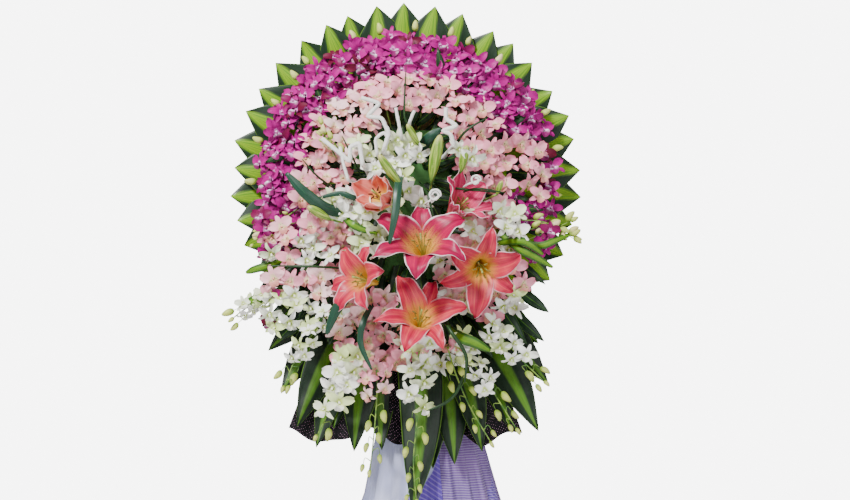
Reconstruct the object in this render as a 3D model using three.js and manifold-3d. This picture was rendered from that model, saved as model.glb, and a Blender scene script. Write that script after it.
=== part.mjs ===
// A standing sympathy spray. A wooden tripod carries a round board with soaked flower foam
// on it. A collar of folded dragon-tree leaves stands round the board, long leaves hang below it, and
// sprays of orchids, stems of lilies and whitened twigs are pushed into the foam. A cloth skirt hides
// the tripod. Millimetres; X to the right, Y to the back, Z up; the floor is Z = 0.
import * as THREE from "three";
import { mergeVertices } from "three/addons/utils/BufferGeometryUtils.js";
import Module from "manifold-3d";

const wasm = await Module();
wasm.setup();

// ---- Driving dimensions -------------------------------------------------------------------------

const GAP = 0.4; // clear space kept between neighbouring pieces

const HEAD_Z = 1150; // centre of the round head above the floor
const BOARD = { radius: 262, thick: 6, tongueHalf: 115, tongueBottom: 770 };
const FOAM_BRICK = { width: 230, height: 110, depth: 80, count: 3 }; // the trade's standard brick
const FOAM_BOTTOM = 934;
const FOAM_Y = -41; // middle of the foam's depth

const STAND_X = 36; // the tripod stands a little to the right of the head's middle
const MAST = { width: 44, depth: 22, bottom: 250, top: 1390, y: 21 };
const BATTEN = { width: 34, depth: 20 };
const LEG_TOP = 640;
const FOOT = { side: 185, front: -165, rear: 262 };
const RAIL_HEIGHTS = [980, 1290];
const BRACE_HEIGHT = 190;

// The collar: leaves fanned round the head, in fans that lie behind and before each other in turn.
const COLLAR = { fans: 7, leavesPerFan: 4, from: -42, to: 212, radius: 390, layers: [-9, -23] };
const COLLAR_LEAF = { length: 185, half: 49, rootHalf: 27, shoulder: 0.77, fold: 0.1 };
const LEAF_THICK = 1.6;

// Long lower leaves: the tip's place, half the blade's width, and which of three layers it lies in.
const LOWER_LEAVES = [
  { name: "lower_leaf_far_left", x: -238, z: 612, half: 38, layer: 1 },
  { name: "lower_leaf_left", x: -196, z: 566, half: 34, layer: 0 },
  { name: "lower_leaf_mid_left", x: -112, z: 560, half: 42, layer: 2 },
  { name: "lower_leaf_centre", x: 16, z: 432, half: 45, layer: 1 },
  { name: "lower_leaf_mid_right", x: 108, z: 530, half: 42, layer: 0 },
  { name: "lower_leaf_right", x: 168, z: 560, half: 34, layer: 2 },
  { name: "lower_leaf_far_right", x: 292, z: 602, half: 40, layer: 1 },
  { name: "lower_leaf_outer_right", x: 316, z: 704, half: 38, layer: 0 },
];
const LOWER_LEAF = { top: 926, layerStep: 13, fold: 0.08, bow: 0.05 };
const NET = { top: 905, bottom: 588, halfTop: 150, halfBottom: 255, yTop: -12, yBottom: -98, thick: 2.4 };

// The skirt's outline, from the hem up: middle (x, y) and half-widths (a, b) across X and Y.
const SKIRT = [
  { z: 4, x: 42, y: 24, a: 318, b: 300 },
  { z: 450, x: 56, y: 8, a: 150, b: 118 },
  { z: 640, x: 48, y: 0, a: 106, b: 76 },
  { z: 745, x: 36, y: 4, a: 64, b: 52 },
];
const CLOTH_THICK = 3;

// Rings of orchid sprays round the head: angles in degrees, radii, and how far forward they stand.
// Each has an inner and an outer row of blossoms.
const MAGENTA = {
  sprays: 6, from: -22, to: 208, inner: 243, outer: 352, front: -100, back: -78, row: [3, 4],
};
const PINK = {
  sprays: 5, from: -44, to: 226, inner: 122, outer: 241, front: -146, back: -126, row: [3, 4],
};
const CROWN = { sprays: 2, from: 10, to: 350, inner: 24, outer: 120, front: -182, back: -164, row: [3, 5] };
const BLOSSOM = { radius: 30, ringRadius: 50, flat: 0.55 };
const STEM = 2.6; // stem radius
const TWIG = 3.4; // twig radius

// Open lilies: middle of the mouth; where it faces (turned right, lifted); radius; root in the foam.
const LILIES = [
  { name: "lily_main", at: [38, -258, 1014], turn: -4, lift: 24, roll: 8, radius: 80, root: [22, 1030] },
  { name: "lily_bottom", at: [36, -246, 860], turn: 2, lift: -8, roll: 22, radius: 76, root: [30, 952] },
  { name: "lily_right", at: [176, -236, 938], turn: 16, lift: -8, roll: 4, radius: 76, root: [82, 975] },
  { name: "lily_left", at: [-132, -224, 936], turn: -44, lift: 2, roll: 12, radius: 66, root: [-52, 960] },
  {
    name: "lily_half_open", at: [-74, -236, 1130], turn: -36, lift: 4, roll: 0, radius: 40, root: [-30, 1120],
  },
  { name: "lily_side", at: [158, -204, 1112], turn: 60, lift: 26, roll: 10, radius: 60, root: [64, 1060] },
];

// Lily buds: foot, tip, and where the stem enters the foam.
const BUDS = [
  { name: "lily_bud_tall", foot: [56, -206, 1149], tip: [76, -214, 1246], radius: 15, root: [52, 1100] },
  { name: "lily_bud_small", foot: [118, -196, 1180], tip: [137, -204, 1228], radius: 11, root: [88, 1138] },
  { name: "lily_bud_slant", foot: [-12, -224, 1146], tip: [-56, -236, 1202], radius: 11, root: [-4, 1096] },
  { name: "lily_bud_left", foot: [-166, -196, 1066], tip: [-212, -204, 1096], radius: 11, root: [-90, 1050] },
];

// Whitened crooked twigs, root first.
const TWIGS = [
  {
    name: "white_twig_left",
    points: [[-44, FOAM_Y, 1180], [-58, -208, 1214], [-30, -212, 1242], [-50, -214, 1284], [-82, -212, 1287],
      [-54, -214, 1315], [-94, -212, 1328]],
  },
  {
    name: "white_twig_right",
    points: [[70, FOAM_Y, 1190], [106, -204, 1226], [82, -208, 1255], [113, -210, 1266], [88, -208, 1280],
      [90, -206, 1305]],
  },
];

// Hanging white sprays: root in the foam, then the stem's line downwards.
const HANGING = [
  { name: "white_spray_far_left", root: [-84, 990], line: [[-186, 864], [-228, 790], [-262, 706]] },
  { name: "white_spray_left", root: [-66, 950], line: [[-100, 820], [-134, 730], [-184, 628]] },
  { name: "white_spray_middle", root: [-14, 945], line: [[-24, 760], [0, 660], [20, 540]] },
  { name: "white_spray_right", root: [74, 945], line: [[104, 806], [160, 724], [216, 626]] },
  { name: "white_spray_far_right", root: [100, 1010], line: [[216, 846], [262, 778], [306, 722]] },
];
const HANGING_Y = { top: -186, step: 8 };

// ---- Materials ----------------------------------------------------------------------------------

const finish = (color, roughness) => new THREE.MeshStandardMaterial({ color, roughness, metalness: 0 });
const WOOD = finish("#b08a5b", 0.75);
const PLYWOOD = finish("#8f7a52", 0.85);
const FOAM = finish("#3f6b3a", 0.95);
const LEAF = finish("#1f4d24", 0.45);
const NETTING = finish("#15141a", 0.8);
const PALE_CLOTH = finish("#c9cbe6", 0.85);
const PURPLE_CLOTH = finish("#8c69b5", 0.8);
const MAGENTA_PETAL = finish("#c0139c", 0.6);
const PINK_PETAL = finish("#f0c3c6", 0.65);
const WHITE_PETAL = finish("#f2f3e8", 0.65);
const LILY_PETAL = finish("#e8506f", 0.55);
const BUD_SKIN = finish("#a3b455", 0.5);
const TWIG_BARK = finish("#f1efe6", 0.8);

// ---- Solids from three.js geometry --------------------------------------------------------------

const { degToRad, lerp, smoothstep } = THREE.MathUtils;
const point = (x, y, z) => new THREE.Vector3(x, y, z);

// A closed three.js geometry as a solid that can be joined and cut. Triangles that shrank to a line
// at a pole are left out.
function solid(geometry, matrix = new THREE.Matrix4()) {
  const loose = geometry.index ? geometry.toNonIndexed() : geometry.clone();
  const bare = new THREE.BufferGeometry().setAttribute("position", loose.getAttribute("position"));
  const merged = mergeVertices(bare.applyMatrix4(matrix), 1e-3);
  const index = merged.index.array;
  const corners = [];
  for (let i = 0; i < index.length; i += 3) {
    const [a, b, c] = index.subarray(i, i + 3);
    if (a !== b && b !== c && c !== a) corners.push(a, b, c);
  }
  return new wasm.Manifold(new wasm.Mesh({
    numProp: 3,
    vertProperties: merged.attributes.position.array,
    triVerts: new Uint32Array(corners),
  }));
}

const union = (solids) => solids.reduce((all, next) => all.add(next));

const box = (width, depth, height, x, y, z) =>
  solid(new THREE.BoxGeometry(width, depth, height), new THREE.Matrix4().makeTranslation(x, y, z));

// Places something built round local +Y so that it runs from a to b.
function along(a, b) {
  const way = b.clone().sub(a).normalize();
  const turn = new THREE.Quaternion().setFromUnitVectors(point(0, 1, 0), way);
  return new THREE.Matrix4().compose(a.clone().lerp(b, 0.5), turn, point(1, 1, 1));
}

// A round rod, longer than from a to b by its own radius so that bends close up.
const rod = (a, b, radius) =>
  solid(new THREE.CylinderGeometry(radius, radius, a.distanceTo(b) + radius, 6), along(a, b));

const rods = (points, radius) => union(points.slice(1).map((p, i) => rod(points[i], p, radius)));

// A batten from a up to b, its width kept level.
function batten(a, b, grow) {
  const up = b.clone().sub(a);
  const length = up.length();
  up.normalize();
  const front = point(0, -1, 0).addScaledVector(up, up.y).normalize();
  const side = point(0, 0, 0).crossVectors(up, front);
  const matrix = new THREE.Matrix4().makeBasis(side, front.negate(), up).setPosition(a.clone().lerp(b, 0.5));
  return solid(new THREE.BoxGeometry(BATTEN.width + 2 * grow, BATTEN.depth + 2 * grow, length), matrix);
}

// ---- Tripod, board and foam ---------------------------------------------------------------------

const mast = (grow) =>
  box(MAST.width + 2 * grow, MAST.depth + 2 * grow, MAST.top - MAST.bottom + 2 * grow,
    STAND_X, MAST.y, (MAST.top + MAST.bottom) / 2);

// Where a leg's middle line meets the mast, and where it meets the floor. The legs are let into the
// mast, so each one overlaps it a little before it is cut.
const LEG_LINES = {
  frontLeft: [point(STAND_X - 35, MAST.y, LEG_TOP), point(STAND_X - FOOT.side, FOOT.front, 0)],
  frontRight: [point(STAND_X + 35, MAST.y, LEG_TOP), point(STAND_X + FOOT.side, FOOT.front, 0)],
  rear: [point(STAND_X, MAST.y + 18, LEG_TOP), point(STAND_X, FOOT.rear, 0)],
};
const BELOW_FLOOR = box(2000, 2000, 200, 0, 0, -100);

// A leg runs past the floor's level and is sawn off flat there.
function leg([top, foot], grow) {
  const below = foot.clone().addScaledVector(foot.clone().sub(top).normalize(), BATTEN.width);
  return batten(below, top, grow).subtract(BELOW_FLOOR);
}

// The brace is nailed across the backs of the two front legs.
function brace(grow) {
  const share = 1 - BRACE_HEIGHT / LEG_TOP;
  const [top, foot] = LEG_LINES.frontRight;
  const x = lerp(top.x, foot.x, share) - STAND_X;
  const y = lerp(top.y, foot.y, share) + BATTEN.depth + 4;
  return box(2 * x, BATTEN.depth + 2 * grow, BATTEN.width, STAND_X, y, BRACE_HEIGHT);
}

function rail(z, grow) {
  const half = Math.sqrt(BOARD.radius ** 2 - (z - HEAD_Z) ** 2) - 10;
  const y = MAST.y + (MAST.depth + BATTEN.depth) / 2;
  return box(2 * half, BATTEN.depth + 2 * grow, BATTEN.width, 0, y + GAP, z);
}

// A flat shape drawn in X and Z, and given its thickness from the back towards the front.
function plate(shape, thick, backY, z, curveSegments) {
  const geometry = new THREE.ExtrudeGeometry(shape, { depth: thick, bevelEnabled: false, curveSegments });
  return solid(geometry, new THREE.Matrix4().makeRotationX(Math.PI / 2).setPosition(0, backY, z));
}

// The board is a disc with a tongue below it that carries the lower leaves.
function board(grow) {
  const start = Math.asin(BOARD.tongueHalf / BOARD.radius) - Math.PI / 2;
  const outline = new THREE.Shape();
  outline.absarc(0, HEAD_Z, BOARD.radius, start, -Math.PI - start, false);
  outline.lineTo(-BOARD.tongueHalf, BOARD.tongueBottom);
  outline.lineTo(BOARD.tongueHalf, BOARD.tongueBottom);
  return plate(outline, BOARD.thick + 2 * grow, MAST.y - MAST.depth / 2 - GAP + grow, 0, 24);
}

function foamBrick(i, grow) {
  const z = FOAM_BOTTOM + (i + 0.5) * (FOAM_BRICK.height + GAP);
  return box(FOAM_BRICK.width, FOAM_BRICK.depth, FOAM_BRICK.height + 2 * grow, 0, FOAM_Y, z);
}

// ---- Leaves and cloth ---------------------------------------------------------------------------

// A blade in its own plane: X across, Y from 0 at the root to 1 at the tip, Z its thickness. It is
// folded along the midrib, and halfAt(t) gives half its width.
function blade(stations, halfAt, fold, grow) {
  const rows = stations.length - 1;
  const geometry = new THREE.BoxGeometry(2, rows, LEAF_THICK + 2 * grow, 2, rows, 1);
  const p = geometry.getAttribute("position");
  for (let i = 0; i < p.count; i++) {
    const t = stations[Math.round(p.getY(i) + rows / 2)];
    const x = p.getX(i) * (halfAt(t) + grow);
    p.setXYZ(i, x, t, p.getZ(i) - Math.abs(x) * fold);
  }
  return geometry;
}

function collarHalf(t) {
  const { half, rootHalf, shoulder } = COLLAR_LEAF;
  return t < shoulder ? lerp(rootHalf, half, t / shoulder) : lerp(half, 0.6, (t - shoulder) / (1 - shoulder));
}

// A place on the head: local X runs round it, Y outwards, Z to the front.
function onHead(degrees, radius, y) {
  const a = degToRad(degrees);
  const outward = point(Math.cos(a), 0, Math.sin(a));
  const front = point(0, -1, 0);
  const across = outward.clone().cross(front);
  const matrix = new THREE.Matrix4().makeBasis(across, outward, front);
  return matrix.setPosition(outward.x * radius, y, HEAD_Z + outward.z * radius);
}

function collarFan(fan, grow) {
  const { fans, leavesPerFan, from, to, radius, layers } = COLLAR;
  const { length, fold } = COLLAR_LEAF;
  const leaves = [];
  for (let i = 0; i < leavesPerFan; i++) {
    const degrees = lerp(from, to, (fan * leavesPerFan + i) / (fans * leavesPerFan - 1));
    const place = onHead(degrees, radius - length, layers[fan % layers.length]);
    const size = new THREE.Matrix4().makeScale(1, length, 1);
    leaves.push(solid(blade([0, COLLAR_LEAF.shoulder, 1], collarHalf, fold, grow), place.multiply(size)));
  }
  return union(leaves);
}

// How far forward the net and the lower leaves lie at a height.
const apronY = (z) => lerp(NET.yTop, NET.yBottom, (NET.top - z) / (NET.top - NET.bottom));

// A lower leaf bows outwards on its way from under the foam to its tip, with its stem in the foam.
function lowerLeaf({ x, z, half, layer }, grow) {
  const root = new THREE.Vector2(x * 0.26, LOWER_LEAF.top);
  const way = new THREE.Vector2(x, z).sub(root);
  const across = new THREE.Vector2(way.y, -way.x).normalize();
  const bow = LOWER_LEAF.bow * way.length() * Math.sign(root.x - x);
  const forward = (height) => apronY(height) - 10 - layer * LOWER_LEAF.layerStep;
  const halfAt = (t) => half * Math.max(0.015, Math.sin(Math.PI * (0.14 + 0.86 * t)) ** 0.75);
  const geometry = blade([0, 0.15, 0.38, 0.62, 0.84, 1], halfAt, LOWER_LEAF.fold, grow);
  const p = geometry.getAttribute("position");
  for (let i = 0; i < p.count; i++) {
    const t = p.getY(i);
    const u = p.getX(i) + bow * Math.sin(Math.PI * t);
    const y = forward(root.y + way.y * t) - p.getZ(i);
    p.setXYZ(i, root.x + way.x * t + across.x * u, y, root.y + way.y * t + across.y * u);
  }
  const low = point(root.x, forward(root.y - 12), root.y - 12);
  return solid(geometry).add(rod(low, point(root.x, forward(root.y) - 1, root.y + 55), STEM + grow));
}

// The net is a thin rippled apron between the board's tongue and the lower leaves.
function netApron(grow) {
  const geometry = new THREE.BoxGeometry(2, NET.thick + 2 * grow, 1, 8, 1, 5);
  const p = geometry.getAttribute("position");
  for (let i = 0; i < p.count; i++) {
    const t = 0.5 - p.getZ(i);
    const u = p.getX(i);
    const z = lerp(NET.top, NET.bottom, t) - 16 * Math.cos(3 * Math.PI * u) * t;
    const y = apronY(lerp(NET.top, NET.bottom, t)) + 3 * Math.cos(4 * Math.PI * u) * t;
    p.setXYZ(i, u * lerp(NET.halfTop, NET.halfBottom, t), y + p.getY(i), z);
  }
  return solid(geometry);
}

// A panel of the skirt between two directions seen from above; 0 is +X and -90 the front.
function skirtPanel(from, to, grow) {
  const rows = SKIRT.length - 1;
  const strips = Math.round((to - from) / 15);
  const geometry = new THREE.BoxGeometry(1, CLOTH_THICK + 2 * grow, rows, strips, 1, rows);
  const p = geometry.getAttribute("position");
  for (let i = 0; i < p.count; i++) {
    const { x, y, z, a, b } = SKIRT[Math.round(p.getZ(i) + rows / 2)];
    const turn = degToRad(lerp(from, to, p.getX(i) + 0.5));
    const inward = p.getY(i) + CLOTH_THICK / 2;
    p.setXYZ(i, x + Math.cos(turn) * (a - inward), y + Math.sin(turn) * (b - inward), z);
  }
  return solid(geometry);
}

// ---- Flowers ------------------------------------------------------------------------------------

// One blossom of a spray, as a low lump that faces the front.
function blossom(x, y, z, radius) {
  const matrix = new THREE.Matrix4().makeScale(1, BLOSSOM.flat, 1).setPosition(x, y, z);
  return solid(new THREE.IcosahedronGeometry(radius, 0), matrix);
}

// The part of a ring that belongs to one spray.
function sector({ inner, outer, front, back }, from, to) {
  const shape = new THREE.Shape();
  shape.absarc(0, 0, outer, degToRad(from + 0.3), degToRad(to - 0.3), false);
  shape.absarc(0, 0, inner, degToRad(to - 0.6), degToRad(from + 0.6), true);
  return plate(shape, back - front + 3 * BLOSSOM.radius, back + BLOSSOM.radius, HEAD_Z, 3);
}

// A spray in a ring: an inner and an outer row of blossoms, on one stem from the foam.
function ringSpray(ring, i, grow) {
  const from = lerp(ring.from, ring.to, i / ring.sprays);
  const to = lerp(ring.from, ring.to, (i + 1) / ring.sprays);
  const lumps = ring.row.flatMap((count, row) => {
    const radius = lerp(ring.inner + 24, ring.outer - 26, row);
    const y = lerp(ring.front, ring.back, row);
    return Array.from({ length: count }, (_, k) => {
      const a = degToRad(lerp(from, to, (k + 0.5) / count));
      return blossom(radius * Math.cos(a), y, HEAD_Z + radius * Math.sin(a), BLOSSOM.ringRadius + grow);
    });
  });
  const a = degToRad((from + to) / 2);
  const root = point(80 * Math.cos(a), FOAM_Y + 12, HEAD_Z - 40 + 110 * Math.sin(a));
  const radius = ring.inner + 30;
  const end = point(radius * Math.cos(a), ring.front + 8, HEAD_Z + radius * Math.sin(a));
  return union(lumps).intersect(sector(ring, from, to)).add(rod(root, end, STEM + grow));
}

// A lily's six petals as one turned trumpet whose rim is drawn out into six points.
// Its room is the trumpet filled up and everything before its mouth.
function trumpet(radius, depth, room) {
  const k = radius / 76;
  const outside = [[0, 0], [8, 0.02], [13, 0.34], [24, 0.64], [48, 0.9], [76, 1]];
  const inside = [[48, 0.98], [22, 0.72], [0, 0.42]];
  const profile = outside.map(([r, h]) => new THREE.Vector2(r * k + (r && room), h * depth - room));
  if (room) profile.push(new THREE.Vector2(radius + room, depth + 150), new THREE.Vector2(0, depth + 150));
  else profile.push(...inside.map(([r, h]) => new THREE.Vector2(r * k, h * depth)));
  const geometry = new THREE.LatheGeometry(profile, 12);
  const p = geometry.getAttribute("position");
  for (let i = 0; i < p.count; i++) {
    const r = Math.hypot(p.getX(i), p.getZ(i));
    const turn = Math.atan2(p.getX(i), p.getZ(i));
    const lobe = 1 - 0.36 * smoothstep(r, 16 * k, radius) * (0.5 - 0.5 * Math.cos(6 * turn));
    p.setX(i, p.getX(i) * lobe);
    p.setZ(i, p.getZ(i) * lobe);
  }
  return geometry;
}

function lily({ at, turn, lift, roll, radius, root }, grow) {
  const depth = 58 + radius * 0.5;
  const [t, l] = [degToRad(turn), degToRad(lift)];
  const face = point(Math.sin(t) * Math.cos(l), -Math.cos(t) * Math.cos(l), Math.sin(l));
  const base = point(...at).addScaledVector(face, -depth);
  const aim = new THREE.Quaternion().setFromUnitVectors(point(0, 1, 0), face);
  aim.multiply(new THREE.Quaternion().setFromAxisAngle(point(0, 1, 0), degToRad(roll)));
  const place = new THREE.Matrix4().compose(base, aim, point(1, 1, 1));
  const stem = rod(point(root[0], FOAM_Y, root[1]), base, STEM * 1.3 + grow);
  return solid(trumpet(radius, depth, grow), place).add(stem);
}

function bud({ foot, tip, radius, root }, grow) {
  const a = point(...foot);
  const b = point(...tip);
  const skin = new THREE.SphereGeometry(1, 8, 6);
  skin.scale(radius + grow, a.distanceTo(b) / 2 + grow, radius + grow);
  return solid(skin, along(a, b)).add(rod(point(root[0], FOAM_Y, root[1]), a.lerp(b, 0.1), STEM + grow));
}

function hangingSpray({ root, line }, grow) {
  const front = line.map(([x, z], i) => point(x, HANGING_Y.top + HANGING_Y.step * i, z));
  const curve = new THREE.CatmullRomCurve3(front);
  const count = Math.round(curve.getLength() / 40);
  const lumps = Array.from({ length: count + 1 }, (_, k) => {
    const { x, y, z } = curve.getPoint(k / count);
    return blossom(x, y, z, lerp(BLOSSOM.radius, 12, (k / count) ** 2) + grow);
  });
  return union([rods([point(root[0], FOAM_Y, root[1]), ...front], STEM + grow), ...lumps]);
}

// ---- Assembly -----------------------------------------------------------------------------------

const spray = new THREE.Group();
const placed = []; // the room that each piece placed so far takes up

function apart(a, b) {
  const [p, q] = [a.boundingBox(), b.boundingBox()];
  return [0, 1, 2].some((i) => p.min[i] > q.max[i] || q.min[i] > p.max[i]);
}

// Adds a piece: make(grow) builds it, bigger all round by grow. What stands in its way was placed
// before it, so it is cut to leave that clear.
function add(name, make, material) {
  let shape = make(0);
  for (const room of placed) {
    if (!apart(shape, room)) shape = shape.subtract(room);
  }
  placed.push(make(GAP));
  const { vertProperties, triVerts } = shape.getMesh();
  const geometry = new THREE.BufferGeometry();
  geometry.setAttribute("position", new THREE.BufferAttribute(vertProperties, 3));
  geometry.setIndex(new THREE.BufferAttribute(triVerts, 1));
  const mesh = new THREE.Mesh(geometry, material);
  mesh.name = name;
  spray.add(mesh);
}

function addRow(name, count, make, material) {
  for (let i = 0; i < count; i++) add(`${name}_${i + 1}`, (grow) => make(i, grow), material);
}

add("stand_mast", mast, WOOD);
add("backing_board", board, PLYWOOD);
addRow("back_rail", RAIL_HEIGHTS.length, (i, grow) => rail(RAIL_HEIGHTS[i], grow), WOOD);
add("stand_leg_front_left", (grow) => leg(LEG_LINES.frontLeft, grow), WOOD);
add("stand_leg_front_right", (grow) => leg(LEG_LINES.frontRight, grow), WOOD);
add("stand_leg_rear", (grow) => leg(LEG_LINES.rear, grow), WOOD);
add("stand_brace", brace, WOOD);
for (const each of LILIES) add(each.name, (grow) => lily(each, grow), LILY_PETAL);
for (const each of BUDS) add(each.name, (grow) => bud(each, grow), BUD_SKIN);
for (const { name, points } of TWIGS) {
  add(name, (grow) => rods(points.map((p) => point(...p)), TWIG + grow), TWIG_BARK);
}
addRow("collar_fan", COLLAR.fans, collarFan, LEAF);
for (const each of LOWER_LEAVES) add(each.name, (grow) => lowerLeaf(each, grow), LEAF);
add("black_net", netApron, NETTING);
add("skirt_front_left", (grow) => skirtPanel(-172, -82, grow), PALE_CLOTH);
add("skirt_front_right", (grow) => skirtPanel(-81, -8, grow), PURPLE_CLOTH);
add("skirt_back", (grow) => skirtPanel(-7, 187, grow), PURPLE_CLOTH);
addRow("white_crown_spray", CROWN.sprays, (i, grow) => ringSpray(CROWN, i, grow), WHITE_PETAL);
for (const each of HANGING) add(each.name, (grow) => hangingSpray(each, grow), WHITE_PETAL);
addRow("pink_spray", PINK.sprays, (i, grow) => ringSpray(PINK, i, grow), PINK_PETAL);
addRow("magenta_spray", MAGENTA.sprays, (i, grow) => ringSpray(MAGENTA, i, grow), MAGENTA_PETAL);
addRow("foam_brick", FOAM_BRICK.count, foamBrick, FOAM);

// The origin is on the floor under the middle of the whole object's box.
const middle = new THREE.Box3().setFromObject(spray).getCenter(point(0, 0, 0));
spray.position.set(-middle.x, -middle.y, 0);

export default spray;
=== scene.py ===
# %% [markdown]
# # A standing sympathy spray
# The CAD model is the fixed frame: its wooden stand, board and foam stay as they are and only get
# better finishes. Everything soft or grown is modelled again here, at the place of its CAD solid:
# leaves, orchids, lilies, buds, twigs, the net and the skirt.

# %% Load the frame
import math
import random
import bpy
import bmesh
from mathutils import Matrix, Vector, noise


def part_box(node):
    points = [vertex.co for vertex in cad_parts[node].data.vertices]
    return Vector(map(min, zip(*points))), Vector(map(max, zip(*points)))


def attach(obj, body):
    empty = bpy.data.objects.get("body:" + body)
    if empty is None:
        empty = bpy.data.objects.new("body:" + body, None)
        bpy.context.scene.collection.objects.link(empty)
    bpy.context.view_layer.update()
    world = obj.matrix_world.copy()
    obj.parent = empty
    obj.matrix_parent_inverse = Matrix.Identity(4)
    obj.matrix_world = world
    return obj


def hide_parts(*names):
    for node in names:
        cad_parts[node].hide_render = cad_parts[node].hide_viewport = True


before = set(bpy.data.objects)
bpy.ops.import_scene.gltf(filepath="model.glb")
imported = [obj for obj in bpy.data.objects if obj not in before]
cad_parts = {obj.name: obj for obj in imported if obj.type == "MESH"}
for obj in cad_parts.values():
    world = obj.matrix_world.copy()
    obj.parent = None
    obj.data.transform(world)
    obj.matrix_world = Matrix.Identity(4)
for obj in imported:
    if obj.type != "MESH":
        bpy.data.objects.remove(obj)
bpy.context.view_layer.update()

MM = 0.001

# %% [markdown]
# ## Places
# A florist works from the middle of the head, so places are given as millimetres to the right of it,
# in front of the board (negative) and above the floor. The board's own box says where that is.

# %% Places on the head
board_low, board_high = (Vector(corner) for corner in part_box("backing_board"))
BOARD_FRONT = 3.6  # the board's front face lies this far behind the arrangement's zero, in mm
HEAD = Vector(((board_low.x + board_high.x) / 2, board_low.y - BOARD_FRONT * MM, 0))
HEAD_HEIGHT = 1150
FOAM_FRONT = -41  # stems start inside the foam, just behind its front
FACE = Vector((0, -1, 0))  # towards whoever looks at the front


def at(x, y, z):
    """A place in metres, from millimetres right of the head's middle, behind zero, above the floor."""
    return HEAD + Vector((x, y, z)) * MM


def on_ring(degrees, radius, y):
    """A place on the head by its angle, from +X anticlockwise as seen from the front."""
    a = math.radians(degrees)
    return at(radius * math.cos(a), y, HEAD_HEIGHT + radius * math.sin(a))


def lerp(a, b, t):
    return a + (b - a) * t


def smooth(t):
    """0 below 0, 1 above 1, and an S between."""
    t = min(max(t, 0), 1)
    return t * t * (3 - 2 * t)


print("head middle", HEAD)

# %% [markdown]
# ## Camera, light and floor
# The camera looks straight at the head from the front with a long lens, as a shop's catalogue does.
# Light is soft and comes from all round, with one firmer lamp from the upper left for shape.

# %% Camera, lights and floor
VIEW_WIDTH = 1.87
CAMERA_DISTANCE = 4.5
CAMERA_AIM = at(43, -110, 1000)
SENSOR = 36

camera_data = bpy.data.cameras.new("camera")
camera_data.sensor_width = SENSOR
camera_data.lens = SENSOR * CAMERA_DISTANCE / VIEW_WIDTH
camera = bpy.data.objects.new("camera", camera_data)
camera.location = CAMERA_AIM - Vector((0, CAMERA_DISTANCE, 0))
camera.rotation_euler = (math.radians(90), 0, 0)
bpy.context.collection.objects.link(camera)
bpy.context.scene.camera = camera


def lamp(name, place, target, size, watts):
    data = bpy.data.lights.new(name, "AREA")
    data.size = size
    data.energy = watts
    made = bpy.data.objects.new(name, data)
    made.location = place
    made.rotation_euler = (Vector(target) - Vector(place)).to_track_quat("-Z", "Y").to_euler()
    bpy.context.collection.objects.link(made)


lamp("key_lamp", (-1.3, -2.2, 3.3), (0, 0, 1.0), 0.7, 205)
lamp("fill_lamp", (2.0, -3.0, 1.4), (0, 0, 1.0), 2.0, 40)
lamp("back_lamp", (0.6, 2.6, 2.6), (0, 0, 1.0), 2.0, 30)

BACKDROP_STRENGTH = 7.0  # what the camera sees behind the object: a plain white backdrop
SKY_STRENGTH = 0.36  # what lights the object from all round

world = bpy.data.worlds.new("studio")
world.use_nodes = True
nodes, links = world.node_tree.nodes, world.node_tree.links
backdrop = nodes["Background"]
backdrop.inputs["Color"].default_value = (1, 1, 1, 1)
backdrop.inputs["Strength"].default_value = BACKDROP_STRENGTH
sky = nodes.new("ShaderNodeBackground")
sky.inputs["Color"].default_value = (1, 1, 1, 1)
sky.inputs["Strength"].default_value = SKY_STRENGTH
either = nodes.new("ShaderNodeMixShader")
links.new(nodes.new("ShaderNodeLightPath").outputs["Is Camera Ray"], either.inputs["Fac"])
links.new(sky.outputs["Background"], either.inputs[1])
links.new(backdrop.outputs["Background"], either.inputs[2])
links.new(either.outputs["Shader"], nodes["World Output"].inputs["Surface"])
bpy.context.scene.world = world

# %% [markdown]
# ## Writing finishes as sums
# A finish is a small graph of shader nodes. Wrapping a socket in a class with arithmetic lets the
# graph be read as a formula, which is easier to follow than a list of links.

# %% Shader maths
class Value:
    """A number or colour that varies over a surface; arithmetic on it adds Math nodes."""

    def __init__(self, finish, socket):
        self.finish = finish
        self.socket = socket

    def math(self, operation, *others):
        return self.finish.node("ShaderNodeMath", {"operation": operation}, [self, *others])

    def __add__(self, other):
        return self.math("ADD", other)

    __radd__ = __add__

    def __mul__(self, other):
        return self.math("MULTIPLY", other)

    __rmul__ = __mul__

    def __sub__(self, other):
        return self.math("SUBTRACT", other)

    def __rsub__(self, other):
        return self.finish.node("ShaderNodeMath", {"operation": "SUBTRACT"}, [other, self])

    def __lt__(self, other):
        return self.math("LESS_THAN", other)

    def __gt__(self, other):
        return self.math("GREATER_THAN", other)

    def __abs__(self):
        return self.math("ABSOLUTE")

    def band(self, low, high):
        """Rises smoothly from 0 at low to 1 at high."""
        settings = {"interpolation_type": "SMOOTHSTEP"}
        inputs = {"Value": self, "From Min": low, "From Max": high}
        return self.finish.node("ShaderNodeMapRange", settings, inputs)


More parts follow.
